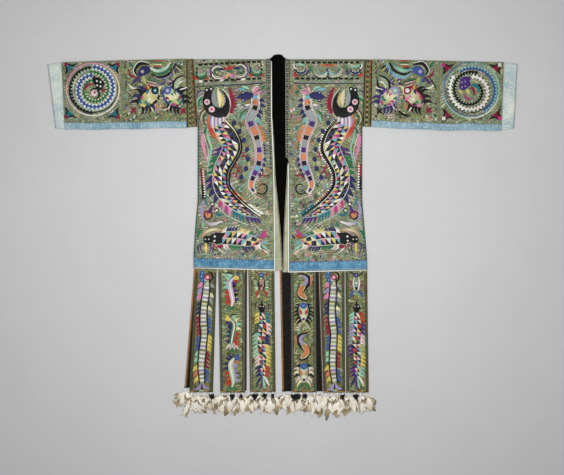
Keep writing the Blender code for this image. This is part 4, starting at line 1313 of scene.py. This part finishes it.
for half in halves:
    medallion = medallions[half]
    node = "medallion_square_" + half
    work = startWork(node, onPanel(medallion["centre"]))
    groundStitches(work, node, "yoke", 0, (np.array(medallion["centre"]), medallion["radius"]))
    rim = coil((0, 0), (medallion["radius"], medallion["radius"]), (-60, 298))
    satin(work, rim, 3.8, medallion["rim"], 0.6, 0.1)
    satin(work, shift(rim, 4), 1.2, "grey", 0.3)
    (serpentRight if half == "right" else serpentLeft)(work)
    low, high = [np.array(c[:2]) / mm - medallion["centre"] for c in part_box(node)]
    corners(work, half, low + (4, 8), high - (3, 3))
    tufts(work, node, 260, 7, ["moss", "green", "mint", "lilac", "cream"])
    finishWork(work, half + "MedallionEmbroidery")


birdSquares = {
    "right": {"centre": (-378, 427.5), "turned": 1, "head": "navy", "bodies": ["white", "green", "black"],
              "leaf": "crimson", "eyes": ["teal", "lilac"],
              "skins": [["black", "yellow", "teal"], ["blue", "green", "crimson"]],
              "fins": [["navy", "black"], "black"]},
    "left": {"centre": (370.5, 427.5), "turned": -1, "head": "blue", "bodies": ["teal", "black", "sky"],
             "leaf": "crimson", "eyes": ["white", "mint"],
             "skins": [["crimson", "pink", "navy"], ["lilac", "magenta", "green"]],
             "fins": [["black"], ["purple", "navy"]]},
}


def bird(work, square):
    head = square["head"]
    first, second, third = square["bodies"]
    ribbons(work, [
        ([(-20, 82), (-48, 86), (-64, 66), (-58, 50)], [3, 11, 10, 3], "black"),
        ([(-20, 88), (-52, 91), (-69, 66), (-60, 47)], [1.5, 2.6, 2.6, 1.5], "white"),
        ([(-20, 73), (4, 64), (30, 74), (42, 90)], [5, 11, 9, 3], [first, "mint", first]),
        ([(-18, 64), (6, 54), (34, 64), (50, 88)], [2, 8, 8, 5], second),
        ([(-16, 57), (8, 45), (38, 55), (60, 86)], [3, 8, 8, 6], third),
        ([(-10, 52), (10, 40), (44, 52), (64, 84)], [1, 3, 3, 2], "lilac"),
        ([(-84, 70), (-76, 50), (-56, 44)], [3, 8, 2], square["leaf"]),
        ([(-82, 92), (-74, 80), (-68, 74)], [3, 9, 3], "green"),
    ], 0.5)
    satin(work, curve([(-50, 48), (-44, 58), (-34, 66), (-18, 66)]), [10, 26, 28, 14], head, 0.7, 0.1)
    disc(work, (-42, 62), 6, "lilac", 0.4, 0.7)
    disc(work, (-42, 62), 2.6, "yellow", 0.4, 0.9)
    many(work, leaf, [((-50, 48), (-76, 22), 9, "purple"), ((-40, 48), (-32, 24), 12, "lime"),
                      ((-52, 46), (-46, 26), 7, head)])
    for k, colour in enumerate(("rust", "green", "cream", "rust", "black")):
        leaf(work, (-12, 94 - 5.4 * k), (26 - 3 * k, 94 - 5.4 * k), 4.2, colour)
    for k, colour in enumerate(("green", "black", "blush", "crimson", "blush", "navy")):
        satin(work, np.array([(-26 - k * 1.2, 42 - 4 * k), (6 - k * 1.5, 34 - 4 * k)], float), 3, colour,
              0.4)
    for x in (18, 40):
        satin(work, curve([(x - 2, 42), (x + 8, 34), (x + 2, 24), (x - 10, 26)]), [4, 4, 4, 2], "purple",
              0.5)
        satin(work, curve([(x + 2, 30), (x - 4, 18)]), [4, 2], "navy", 0.5)
    fan = coil((42, 96), (46, 40), (-95, -30))
    for k, spot in enumerate(fan[::2]):
        leaf(work, spread(np.array([46, 88]), spot, 0.35), spot + (4, -2), 5,
             ("moss", "purple", "lime", "black")[k % 4])


def smallFish(work, spine, girth, skins, fin, eyeTint, side, extra):
    line = curve(spine)
    wide = along(girth, len(line))
    outer, inner = shift(line, wide / 2 * side), shift(line, -wide / 2 * side)
    fins(work, part(outer, 0.3, 0.98), 4, 30, fin, side, 0.4)
    fins(work, part(inner, 0.5, 1), 4, 29, fin, -side, 0.5)
    fins(work, part(outer, 0.05, 0.3), 3, 14, extra, side, 0.1)
    satin(work, line, wide + 6, skins[0], 0.4, 0.05)
    satin(work, part(line, 0.1, 0.98), wide[len(wide) // 8:] * 0.88, ["sage", "cream", "lime", "sage"], 0.3,
          0.3)
    for way, tints in ((1, [skins[1], "cream", skins[2]]), (-1, [skins[2], skins[1], "magenta"]),
                       (0.35, [skins[1], "white", "teal"])):
        fins(work, part(shift(line, wide * 0.34 * way), 0.2, 0.92), 4, 12, tints, -way, 0.9, 0.1, 0.6, 0.8)
    eye = line[max(1, len(line) // 9)]
    for radius, colour, base in ((12, skins[0], 0.5), (7, eyeTint, 0.9), (2.8, "white", 1.2)):
        disc(work, eye, radius, colour, 0.4, base)


for half in halves:
    square = birdSquares[half]
    node = "bird_square_" + half
    work = startWork(node, onPanel(square["centre"], square["turned"]))
    groundStitches(work, node, "square")
    bird(work, square)
    for spine, side, extra, skins, fin, eye in zip(
            ([(0, 10), (-14, -8), (-34, -26), (-50, -42)], [(30, 10), (43, -8), (61, -26), (76, -42)]),
            (-1, 1), (["rust", "yellow"], ["black", "navy"]), square["skins"], square["fins"],
            square["eyes"]):
        smallFish(work, spine, [30, 50, 48, 16], skins, fin, eye, side, extra)
    many(work, leaf, [
        ((14, 20), (4, -26), 6, "blush", -0.3), ((20, 22), (10, -10), 6, "cream", -0.2),
        ((50, 2), (82, 52), 22, "black", 0.12), ((54, 8), (80, 47), 14, "sage", 0.12, 0.5, 0.4),
        ((60, 10), (80, 34), 7, "white", 0.2), ((66, 6), (94, 16), 6, "white"),
        ((-58, 12), (-84, 26), 6, "white", 0.2), ((4, -30), (-2, -52), 7, "orange"),
        ((16, -54), (44, -32), 6, "blush", -0.2), ((-4, -62), (-20, -40), 6, "cream")])
    if half == "left":
        ribbons(work, [([(88, 48), (84, 20), (68, -6)], [2, 8, 3], "black"),
                       ([(-70, 44), (-84, 22), (-92, 6)], [2, 6, 2], "black"),
                       ([(32, -46), (10, -66), (-14, -72)], [3, 8, 3], "black")])
    for spot in ((-68, -54), (80, -56)):
        for turn in range(4):
            leaf(work, spot, spot + 12 * unit(45 + 90 * turn), 8,
                 "crimson" if half == "right" or spot[0] < 0 else "black")
    tufts(work, node, 420, 9, ["moss", "green", "black", "purple", "cream", "mint", "white", "navy",
                               "orange"])
    finishWork(work, half + "BirdEmbroidery")
print("sleeve squares sewn")


# the strips, from the hem downwards

stripTrims = {  # colours of the dotted edges: left and right of each strip, outermost first
    1: (["moss", "black", "brown"], ["black", "brown", "black"]),
    2: (["grey", "black", "navy"], ["black", "grey", "navy"]),
    3: (["brown", "blush", "black"], ["black", "brown", "black"]),
    4: (["purple", "grey", "black"], ["black", "grey", "navy"]),
    5: (["brown", "crimson", "black"], ["black", "brown", "black"]),
    6: (["brown", "moss", "black"], ["crimson", "black", "black"]),
}


def onStrip(number):
    piece = readPiece(f"tail_front_{number}")
    head, foot = piece["top"], piece["bottom"]
    topMiddle, footMiddle = (head[0] + head[-1]) / 2, (foot[0] + foot[-1]) / 2
    run = footMiddle - topMiddle

    def place(line):
        depth = -105 - line[..., 1]
        share = (depth - topMiddle[1]) / run[1]
        return np.column_stack([topMiddle[0] + run[0] * share + line[..., 0], depth])
    return place


def stripSnake(work):
    spine = curve([(2, 26), (3, 60), (-2, 110), (-2, 150), (2, 190), (-1, 240), (-3, 290), (2, 340)])
    girth = along([19, 23, 22, 24, 21, 23, 21, 16], len(spine))
    rows = {
        -1: [(0.02, 0.2, 5, 16, ["pink", "lilac"]), (0.22, 0.34, 5, 13, "navy"),
             (0.35, 0.53, 7, 14, "crimson"), (0.54, 0.68, 6, 13, "blue"), (0.69, 0.8, 4, 11, "mint"),
             (0.82, 0.97, 5, 16, ["yellow", "orange"])],
        1: [(0.04, 0.34, 9, 14, ["grey", "moss", "cream"]), (0.36, 0.52, 6, 12, "blue"),
            (0.53, 0.68, 6, 15, "yellow"), (0.69, 0.85, 6, 13, "crimson"), (0.86, 0.98, 5, 13, "blue")],
    }
    for side, fans in rows.items():
        edge = shift(spine, girth / 2 * -side)
        for start, stop, count, length, colour in fans:
            fins(work, part(edge, start, stop), max(2, count - 2), length * 1.3, colour, -side, 0.6)
    bands = []
    for k in range(26):
        bands += [(("white", "cream", "white", "blush", "white")[k % 5], 0.9),
                  (("sage", "sage", "grey", "sage", "lilac", "olive")[k % 6], 1)]
    banded(work, spine, girth * 0.78, bands)
    for side in (1, -1):
        satin(work, shift(spine, girth / 2 * side), 4.4, "black", 0.6, 0.1)
    for spot, radius in (((-11, 8), 7.5), ((-13, 19), 7.5), ((-10, 30), 7), ((-4, 38), 6)):
        disc(work, spot, radius, "blue", 0.6, 0.1)
        disc(work, spot, radius * 0.4, "sky", 0.3, 0.6)
    for radius, colour, base in ((9.5, "crimson", 0.3), (6.4, "pink", 0.7), (3.2, "cream", 0.9)):
        disc(work, (5, 22), radius, colour, 0.4, base)
    satin(work, curve([(6, 4), (18, 12), (19, 26), (10, 38)]), [3, 6, 6, 2], "black", 0.5)
    many(work, leaf, [((0, 336), (-22, 360), 10, "lilac", -0.2), ((2, 336), (24, 358), 10, "lilac", 0.2),
                      ((1, 338), (1, 360), 7, "black"), ((-8, 362), (10, 362), 5, "mint")])


def shrimp(work, top, turned, back, belly, comb, skin, head):
    def at(points):
        return [(turned * u, top + v) for u, v in points]
    spine = curve(at([(6, 16), (-6, 34), (-2, 62), (2, 86), (-2, 104)]))
    satin(work, spine, [5, 18, 19, 16, 5], skin, 0.6, 0.1)
    satin(work, spine, [2, 4, 4, 4, 2], "white", 0.3, 0.7)
    for way, rows in ((1, ((0.0, 0.4, 4, 17, back), (0.44, 1, 4, 16, comb))),
                      (-1, ((0.15, 0.85, 5, 14, belly),))):
        for start, stop, count, length, colour in rows:
            fins(work, part(shift(spine, way * turned * 8), start, stop), count, length, colour,
                 way * turned, 0.15)
    for (u, v), radius, colour in zip(at([(13, 18), (13, 26), (16, 8)]), (8.5, 6.5, 4.5), head):
        disc(work, (u, v), radius, colour, 0.6, 0.2)
    satin(work, curve(at([(-16, 2), (0, 4), (8, 12)])), [2, 4, 2], "black", 0.5)
    for u, v in ((-18, 116), (-6, 122), (8, 120), (18, 112)):
        leaf(work, at([(-1, 100)])[0], at([(u, v)])[0], 5, "green", 0.1)


def butterfly(work, tint, wing, lower, antenna):
    disc(work, (0, 15), 7.5, tint, 0.6, 0.2)
    disc(work, (0, 15), 3, "sky", 0.3, 0.7)
    for side in (-1, 1):
        leaf(work, (side * 5, 18), (side * 21, 4), 4.5, antenna, 0.1)
        satin(work, curve([(side * 6, 22), (side * 9, 40), (side * 5, 62)]), [3, 5, 3],
              "black" if tint == "blue" else "white", 0.5)
        for k in range(5):
            leaf(work, (side * 11, 30 + 7 * k), (side * (22 - k * 0.4), 24 + 9 * k), 5, wing[k % len(wing)],
                 0.1 * side)
        leaf(work, (side * 3, 60), (side * 18, 84), 8, lower, -0.15 * side)
    for k, colour in enumerate(("orange", "pink", "crimson", "pink")):
        fill(work, [(-5, 28 + 8 * k), (5, 28 + 8 * k), (0, 37 + 8 * k)],
             colour if tint == "blue" else ("grey", "white", "sky", "black")[k], 0.5, 0.2)


def stripFish(work, left, right, antenna):
    disc(work, (0, 112), 11, "black", 0.7, 0.2)
    fill(work, [(-10, 112), (10, 112), (6, 128), (-6, 128)], "black", 0.6, 0.2)
    leaf(work, (0, 106), (0, 92), 6, "black")
    for side in (-1, 1):
        disc(work, (side * 5, 109), 2.3, "blush", 0.3, 0.95)
        satin(work, curve([(side * 6, 98), (side * 18, 100), (side * 20, 122)]), [2, 4, 2], antenna, 0.5)
    spine = curve([(0, 126), (2, 170), (-2, 220), (1, 270), (0, 318)])
    girth = along([16, 25, 25, 22, 14], len(spine))
    for side, fans in ((-1, left), (1, right)):
        edge = shift(spine, girth / 2 * -side)
        for k, colour in enumerate(fans):
            fins(work, part(edge, k / len(fans), (k + 1) / len(fans)), 3, 19, colour, -side, 0.55)
    mosaic(work, spine, girth, 2, 12, ["rust", "white", "teal", "black", "yellow", "navy", "blush",
                                       "magenta", "cream", "black", "sky", "purple", "rust"], 0.15)
    for k, (u, v) in enumerate(((-20, 352), (-7, 360), (8, 358), (20, 350))):
        leaf(work, (0, 314), (u, v), 8, ("navy", "purple", "mint", "white")[k], 0.05 * (-1) ** k)


def worm(work, top, turned):
    def at(points):
        return [(turned * u * 1.2, top + v * 1.08) for u, v in points]
    satin(work, curve(at([(-12, 2), (4, 6), (14, 20), (4, 36), (-8, 50), (-4, 66), (10, 76)])),
          [3, 9, 20, 23, 25, 23, 12], "black", 0.5)
    satin(work, curve(at([(-6, 8), (4, 12), (8, 22), (-1, 38), (-8, 52), (-3, 64), (8, 73)])),
          [1, 4, 11, 18, 20, 18, 8], "cream", 0.4, 0.3)
    satin(work, curve(at([(2, 34), (-8, 50), (-3, 63), (6, 71)])), [10, 18, 16, 6],
          ["copper", "orange", "copper"], 0.5, 0.5)
    satin(work, curve(at([(-8, 6), (3, 11), (8, 21), (1, 36)])), [2, 8, 13, 14], ["grey", "lilac", "grey"],
          0.5, 0.5)
    leaf(work, at([(20, 6)])[0], at([(18, 36)])[0], 8, "orange")


def beetle(work, top, tints):
    spine = curve([(0, top + 4), (0, top + 24), (0, top + 58)])
    girth = along([22, 35, 30, 10], len(spine))
    for side in (-1, 1):
        fins(work, shift(spine, girth / 2 * -side), 6, [15, 19, 22, 27], tints["spikes"], -side, 0.45,
             fat=1.1)
        satin(work, curve([(side * 3, top + 60), (side * 14, top + 74), (side * 20, top + 84)]), [5, 6, 2],
              tints["tail"], 0.5)
    satin(work, spine, girth, tints["skin"], 0.6, 0.1)
    satin(work, spine, girth * 0.74, ["sage", "cream"], 0.4, 0.6)
    disc(work, (0, top + 11), 10, "blue", 0.4, 0.7)
    disc(work, (0, top + 11), 2.6, "sky", 0.3, 1.0)
    for side in (-1, 1):
        fill(work, [(side * 13, top + 20), (side * 4, top + 27), (side * 3.5, top + 40),
                    (side * 12, top + 34)], tints["cheek"], 0.4, 0.8)
    many(work, disc, [((0, top + 33), 3.4, "mint", 0.4, 0.8), ((0, top + 51), 5, "purple", 0.4, 0.8),
                      ((0, top + 43), 2.5, "white", 0.4, 0.8)])


def sewStrip(work, number):
    if number in (1, 5):
        stripSnake(work)
    elif number == 2:
        shrimp(work, 6, 1, ["mint"], ["purple", "black"], "rust", ["lilac", "blush"],
               ("yellow", "rust", "blue"))
        shrimp(work, 130, -1, ["mint", "cream"], "navy", "rust", ["olive", "green"],
               ("yellow", "purple", "yellow"))
        for u in (-20, -7, 7, 20):
            leaf(work, (0, 216), (u, 244 - abs(u) * 0.3), 9, "blush")
        shrimp(work, 248, 1, ["navy"], "lilac", "rust", ["cream", "mint"], ("blue", "orange", "blue"))
    elif number == 3:
        butterfly(work, "blue", ["moss", "mint", "mint", "white", "mint"], "rust", "crimson")
        stripFish(work, ["yellow", "moss", "mint", "mint", "blush", "navy"],
                  ["teal", "blush", "navy", "yellow", "yellow", "rust"], "navy")
    elif number == 6:
        butterfly(work, "purple", ["lime", "crimson", "crimson", "magenta", "crimson"], "blue", "black")
        stripFish(work, ["mint", "lilac", "grey", "purple", "moss", "purple"],
                  ["rust", "purple", "blush", "lime", "yellow", "mint"], "moss")
    else:
        worm(work, 8, 1)
        beetle(work, 96, {"spikes": "black", "tail": ["lime", "blush"], "skin": "grey", "cheek": "rust"})
        worm(work, 186, -1)
        beetle(work, 278, {"spikes": ["black", "blush", "cream"], "tail": "green", "skin": "teal",
                           "cheek": "orange"})


for number in range(1, 7):
    node = f"tail_front_{number}"
    work = startWork(node, onStrip(number))
    groundStitches(work, node, "strip", 0.1)
    sewStrip(work, number)
    tufts(work, node, 260, 9, ["moss", "brown", "green", "cream", "mint", "lime", "olive"], 0.16)
    work["place"] = asDrawn
    for side, colours in zip(("left", "right"), stripTrims[number]):
        for k, colour in enumerate(colours):
            dark = "black" if colour != "black" else "moss"
            edging(work, node, side, 0.01, 0.95, 1.6 + 3 * k, 2.7, [colour, dark], 2.8, 0.7)
    edging(work, node, "bottom", 0.02, 0.98, 2.4, 3.6, ["copper", "brown", "copper"], 14, 0.3)
    finishWork(work, f"stripEmbroidery{number}")
print("strips sewn")


# braids and trims

def trim(name, node, rows):
    work = startWork(node)
    for side, start, stop, offset, width, colours, length, gap in rows:
        edging(work, node, side, start, stop, offset, width, colours, length, gap)
    finishWork(work, name)


for half in halves:
    inner, outside = half, "left" if half == "right" else "right"
    trim(half + "NeckBraid", "neck_band_" + half, [
        (inner, 0.01, 0.99, 1.6, 2, ["cream", "black"], 3, 0.8),
        (inner, 0.01, 0.99, 5, 2.6, ["moss", "grey", "black"], 5, 0.4),
        (inner, 0.05, 0.99, 8.6, 1.8, ["black", "cream"], 3, 0.8)])
    trim(half + "ArmholeBraid", "armhole_band_" + half, [
        (side, 0.01, 0.99, 2 + 3.2 * k, 2.4, colours, 7, 0.6)
        for side, rows in (("left", ("black", "olive", ["copper", "brown"], ["sage", "black"])),
                           ("right", ("black", ["copper", "rust", "brown"], "olive", ["sage", "black"])))
        for k, colours in enumerate(rows)])
    trim(half + "HemStitching", "hem_band_" + half, [
        ("top", 0.01, 0.99, 1.4, 2.6, ["purple", "lilac", "navy", "grey"], 4, 0.4),
        ("bottom", 0.01, 0.99, 3, 0.9, "white", 3.4, 3)])
    trim(half + "UnderarmStitching", "underarm_strip_" + half, [
        ("top", 0.01, 0.99, 1.5, 1.2, ["white", "sky"], 3, 3)])
    trim(half + "CuffStitching", "cuff_" + half, [
        (outside, 0.02, 0.98, 3.4, 0.9, "white", 3.4, 3),
        (inner, 0.02, 0.98, 2, 1.2, ["moss", "sage"], 3, 2)])
    trim(half + "FrontEdgeBraid", "front_" + half, [
        (outside, 0.02, 0.74, 2.6, 3.4, ["black", "teal"], 3.6, 0.8),
        (outside, 0.02, 0.74, 6.4, 2, ["black", "sage"], 4, 1)])
    trim(half + "FacingStitching", "facing_" + half, [
        (outside, 0.02, 0.9, 2.2, 0.9, "cream", 3.2, 3),
        (inner, 0.02, 0.98, 2, 2, ["brown", "moss"], 6, 0.5)])
for number in range(1, 7):
    trim(f"backStripSelvedge{number}", f"tail_back_{number}", [
        ("left", 0.01, 0.99, 2.4, 4.6, "copper" if number in (1, 4) else ["brown", "moss"], 16, 0.3),
        ("left", 0.01, 0.99, 6, 2, "brown", 12, 0.6), ("right", 0.01, 0.99, 2, 2.4, "brown", 12, 0.6)])
print("braids sewn")


# the fringe: strings with white seeds at the foot of each strip, and a tuft of feathers on each string

fringe = {
    "tassels": 4,
    "margin": 7.5,  # from the strip's corner to the first string
    "stringLength": 7,
    "lean": 10 / 270,  # degrees out from the middle of the garment, for each millimetre
    "feathers": 10,
    "fan": 46,
    "length": (42, 72),
    "width": (11, 23),
    "wisps": 4,
    "spikes": 2,
}
# the two darker feather tones are painted shade for the blades that lie under and between others
threads |= {"feather": (252, 248, 236), "featherWarm": (238, 224, 200), "featherShade": (196, 178, 140),
            "featherDeepShade": (104, 88, 60), "quill": (226, 208, 160), "string": (214, 210, 196),
            "plume": (16, 14, 16), "shell": (244, 244, 236)}
# each tuft's lower layers take the darker tones and some upper tips darken: painted shade under and between
# the upper blades
featherLayers = [("featherDeepShade", "featherDeepShade", "featherShade"),
                 ("featherShade", "featherShade", "featherDeepShade"), ("quill", "feather", "featherWarm"),
                 ("feather", "featherWarm", "featherShade"), ("feather", "feather", "featherWarm")]
darkPlumes = {  # share of the strip's width, and size
    1: [(1.05, 1.3)], 2: [(0.48, 1.1), (0.93, 0.6)], 3: [(0.12, 1.6), (0.6, 1.1), (0.98, 0.5)],
    4: [(0.02, 1.9), (0.2, 1.5), (0.56, 1.1)], 5: [(0.97, 1.1)], 6: [(0.4, 1.2)]}
draw = random.Random(17)


def strand(tuft, spine, widths, heights, colour, kind=0):
    # a thin strip with a low ridge along it, in the open air
    spine = np.asarray(spine, float)
    count = len(spine)
    side = np.column_stack([leftOf(spine[:, :2]) * (along(widths, count) / 2)[:, None], np.zeros(count)])
    ridge = spine + np.column_stack([np.zeros((count, 2)), along(heights, count)])
    faces = [(3 * i + 3 + j, 3 * i + 3 + (j + 1) % 3, 3 * i + (j + 1) % 3, 3 * i + j)
             for i in range(count - 1) for j in range(3)]
    faces += [(0, 1, 2), (3 * count - 1, 3 * count - 2, 3 * count - 3)]
    run = np.concatenate([[0], np.cumsum(np.linalg.norm(np.diff(spine, axis=0), axis=1))])
    runs = np.column_stack([np.tile([-0.5, 0, 0.5], count), np.repeat(run, 3)])
    keep(tuft, np.stack([spine - side, ridge, spine + side], axis=1).reshape(-1, 3), faces,
         np.repeat(dyes(colour, count), 3, axis=0), runs, kind)


def addFeather(tuft, root, heading, length, width, level, tones, turn=1.0, belly=(0.7, 1.1), droop=1.0):
    # one blade, cupped towards the floor, with a ragged edge and loose wisps
    count = 12
    shares = np.linspace(0, 1, count)
    angle = math.radians(heading) + turn * draw.uniform(-0.9, 0.9) * shares
    steps = np.column_stack([np.sin(angle), -np.cos(angle)]) * length / (count - 1)
    plan = np.array(root[:2]) + np.vstack([[0, 0], np.cumsum(steps[:-1], axis=0)])
    rise = spread(root[2], level, np.sin(np.pi * np.minimum(1, shares * 1.3) / 2))
    rise = spread(rise, 1.6, droop * np.clip(shares * 1.6 - 0.6, 0, 1))
    blade = np.sin(np.pi * (0.06 + 0.92 * shares ** draw.uniform(*belly)))
    half = width / 2 * blade ** draw.uniform(0.6, 1.2) + 0.25
    left, ahead = leftOf(plan), steps / (length / (count - 1))
    top = []
    for across, drop in ((-1, 1), (-0.55, 0.3), (0, -0.35), (0.55, 0.3), (1, 1)):
        ragged = np.array([draw.uniform(0.6, 1.15) if abs(across) == 1 else 1 for _ in shares])
        reach = half * across * ragged
        spot = plan + left * reach[:, None] + ahead * (np.abs(reach) * 0.5)[:, None]
        top.append(np.column_stack([spot, np.maximum(0.7, rise - drop * half * 0.16)]))
    top = np.stack(top, axis=1)[:, ::-1].reshape(-1, 3)
    points = np.vstack([top, top - (0, 0, 0.4)])
    c, s = math.cos(angle[0]), math.sin(angle[0])
    runs = np.column_stack([points[:, :2] @ (c, s), points[:, :2] @ (s, -c)])
    faces = [face[::-1] for face in shellFaces(5, count)]
    shade = np.tile(np.repeat(dyes(tones, count), 5, axis=0), (2, 1))
    keep(tuft, points, faces, shade, runs * 0.5)
    for _ in range(fringe["wisps"]):
        i = draw.randrange(1, count - 1)
        side = draw.choice((-1, 1))
        start = np.array([*(plan[i] + left[i] * half[i] * side * 0.8), rise[i] - 0.5])
        reach = draw.uniform(4, 9)
        turned = [np.array([*(start[:2] + (left[i] * side * 0.6 + ahead[i] * s * 1.3) * reach * s),
                            max(0.5, start[2] - 2 * s)])
                  for s in (0, 0.5, 1)]
        strand(tuft, turned, [1.6, 1.4, 0.3], 0.4, tones[-2:])


def modelSeed():
    # one drop-shaped seed that narrows to its string hole, shaped once and then copied
    bpy.ops.object.select_all(action="DESELECT")
    bpy.ops.mesh.primitive_uv_sphere_add(segments=10, ring_count=8, radius=2.4 * mm)
    seed = bpy.context.active_object
    bpy.ops.object.mode_set(mode="EDIT")
    bpy.ops.mesh.select_all(action="SELECT")
    bpy.ops.transform.resize(value=(1, 1, 1.35))
    bpy.ops.object.mode_set(mode="OBJECT")
    for vertex in seed.data.vertices:
        vertex.select = vertex.co.z > 2.3 * mm
    for edge in seed.data.edges:
        edge.select = all(seed.data.vertices[i].select for i in edge.vertices)
    for face in seed.data.polygons:
        face.select = all(seed.data.vertices[i].select for i in face.vertices)
    bpy.ops.object.mode_set(mode="EDIT")
    bpy.ops.transform.resize(value=(0.6, 0.6, 1))
    bpy.ops.transform.translate(value=(0, 0, 0.5 * mm))
    bpy.ops.object.mode_set(mode="OBJECT")
    points = np.array([v.co[:] for v in seed.data.vertices]) / mm
    faces = [tuple(face.vertices) for face in seed.data.polygons]
    bpy.data.objects.remove(seed)
    return points, faces


seedPoints, seedFaces = modelSeed()


def addSeed(tuft, place, size, heading):
    turned = np.column_stack([seedPoints[:, 0], -seedPoints[:, 2], seedPoints[:, 1]]) * size
    c, s = unit(heading)
    points = np.column_stack([turned[:, 0] * c - turned[:, 1] * s, turned[:, 0] * s + turned[:, 1] * c,
                              turned[:, 2]])
    shade = np.repeat(dyes("shell", 1), len(points), axis=0)
    keep(tuft, points + np.array(place), seedFaces, shade, np.zeros((len(points), 2)), 1)


def makeFringe(name, node, places, footY, level, plumes=()):
    tuft = startWork()
    strand(tuft, [(places[0] - 6, footY - 1.6, level), (places[-1] + 6, footY - 1.6, level)], 2.4, 1.4,
           "string", 2)
    for x in places:
        lean = fringe["lean"] * x
        way = np.array([math.sin(math.radians(lean)), -math.cos(math.radians(lean))])
        start = np.array([x, footY - 1.5])
        head = start + way * (fringe["stringLength"] + 3)
        line = [(*spread(start, head, s), spread(level, 2.6, s)) for s in (0, 0.35, 0.7, 1)]
        for aside in (-0.7, 0.7):
            strand(tuft, [(p[0] + aside, p[1], p[2]) for p in line], 1.1, 0.9, "string", 2)
        addSeed(tuft, (*spread(start, head, 0.3), 5.2), 1.2, lean)
        addSeed(tuft, (*spread(start, head, 0.85), 4.6), draw.uniform(0.8, 1.1), lean + 180)
        # the bound head of the tuft, and its feathers from the lowest to the uppermost
        strand(tuft, [(*(head - way * 1.5), 1.2), (*(head + way * 1.5), 0.9), (*(head + way * 5), 0.8)],
               [3, 7, 8], 3.4, ("feather", "featherWarm"))
        count = fringe["feathers"]
        long = draw.uniform(0.72, 1.12)
        slant = draw.uniform(-12, 12)
        for k in range(count):
            fan = (k * 3 % count) / (count - 1) * 2 - 1
            layer = featherLayers[min(4, k * 5 // count)]
            heading = lean + slant + fringe["fan"] * fan * (1 - 0.35 * k / count) + draw.uniform(-12, 12)
            root = (head[0] + fan * 2.5, head[1] + draw.uniform(-3, 1), 2.2)
            full = draw.uniform(*fringe["length"]) * long
            length = full * (1 - 0.14 * abs(fan)) * (1.02 - 0.28 * k / count)
            addFeather(tuft, root, heading, length, draw.uniform(*fringe["width"]),
                       spread(2.4, 9, (k + 0.5) / count), layer)
        for _ in range(2):
            # thin dark strands between the blades, in the deep painted-shade tone, that darken the gaps as
            # painted shade
            addFeather(tuft, (head[0] + draw.uniform(-5, 5), head[1] - draw.uniform(2, 12), 8),
                       lean + draw.uniform(-40, 40), draw.uniform(14, 30), 3.2, 9.6,
                       ("featherDeepShade", "featherShade"), 1, (0.6, 0.9), 0.6)
        for _ in range(fringe["spikes"]):
            addFeather(tuft, (*head, 2.4), lean + draw.uniform(-45, 45), draw.uniform(34, 50), 4, 8.5,
                       ("feather", "featherWarm"))
    for share, size in plumes:
        # dark plumes among the heads of the tufts
        x = spread(places[0], places[-1], share)
        for turn in (-1, 1, 0):
            root = (x + turn * 5 * size, footY - draw.uniform(3.5, 5.5), 7)
            length = 9 + 7 * size
            heading = draw.uniform(-8, 8) - turn * math.degrees(math.atan(4.4 * size / length))
            addFeather(tuft, root, heading, length, 3 + 2.6 * size, 11, ("plume", "plume"), 0.2,
                       (0.4, 0.55), 0.15)
    finishWork(tuft, name, ("down", "seed", "string"), node)


for number in range(1, 7):
    foot = readPiece(f"tail_front_{number}")["bottom"]
    left, right = foot[0][0] + fringe["margin"], foot[-1][0] - fringe["margin"]
    spots = np.linspace(left, right, fringe["tassels"])
    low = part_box(f"tail_front_{number}")[0]
    makeFringe(f"featherFringe{number}", f"feather_fringe_{number}", spots, low.y / mm,
               1.4 if number != 5 else 0.9, darkPlumes[number])
for number, spot in ((1, -290), (4, 5)):
    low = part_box(f"tail_back_{number}")[0]
    makeFringe(f"backFeatherFringe{number}", f"feather_fringe_back_{number}", [spot], low.y / mm, 0.9)
print("fringes hung")


# the white cord along the front edges and the hem
for half in halves:
    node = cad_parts["piping_" + half]
    made = link(half + "Piping", node.data.copy())
    pickOut(made)
    weld = made.modifiers.new("weld", "WELD")
    weld.merge_threshold = 1e-6
    bpy.ops.object.modifier_apply(modifier=weld.name)
    made.data.materials.clear()
    made.data.materials.append(materials["white_piping"])
    bpy.ops.object.shade_smooth()
    dress(made, "piping_" + half)
print("cords laid")

# floor, light and camera
bpy.ops.mesh.primitive_plane_add(size=9, location=(0, 0, -0.4 * mm))
floor = bpy.context.active_object
floor.name = "floor"
floor.data.materials.append(clothMaterial("floorPaper", (208, 208, 209), (212, 212, 213), (214, 214, 214),
                                          3, 30, 0.2, 1500, 0.9, 0))

studio = {"ambient": 0.29, "keyPower": 24, "keySize": 1.1, "keyPlace": (0.0, 0.19, 1.6)}
world = bpy.data.worlds.new("studio")
bpy.context.scene.world = world
world.use_nodes = True
backdrop = world.node_tree.nodes["Background"].inputs
backdrop["Color"].default_value = (1, 1, 1, 1)
backdrop["Strength"].default_value = studio["ambient"]
bpy.ops.object.light_add(type="AREA", location=studio["keyPlace"])
key = bpy.context.active_object
key.name = "softKey"
key.data.shape = "DISK"
key.data.size = studio["keySize"]
key.data.energy = studio["keyPower"]
key.rotation_euler = (Vector(studio["keyPlace"]) - Vector((0, 0.05, 0))).to_track_quat("Z", "Y").to_euler()
bpy.context.scene.view_settings.view_transform = "Standard"

shot = {
    "pixel": 3.0,  # millimetres on the floor for one pixel of the photograph
    "middle": (282.5, 235),  # the pixel that lies on the origin
    "centre": (282, 237.5),
    "width": 564,
    "height": 4000,
    "sensor": 36,
}
bpy.ops.object.camera_add()
camera = bpy.context.active_object
camera.name = "overheadCamera"
offsetX = (shot["centre"][0] - shot["middle"][0]) * shot["pixel"]
offsetY = (shot["middle"][1] - shot["centre"][1]) * shot["pixel"]
camera.location = (offsetX * mm, offsetY * mm, shot["height"] * mm)
camera.data.sensor_width = shot["sensor"]
camera.data.lens = shot["sensor"] * shot["height"] / (shot["width"] * shot["pixel"])
bpy.context.scene.camera = camera
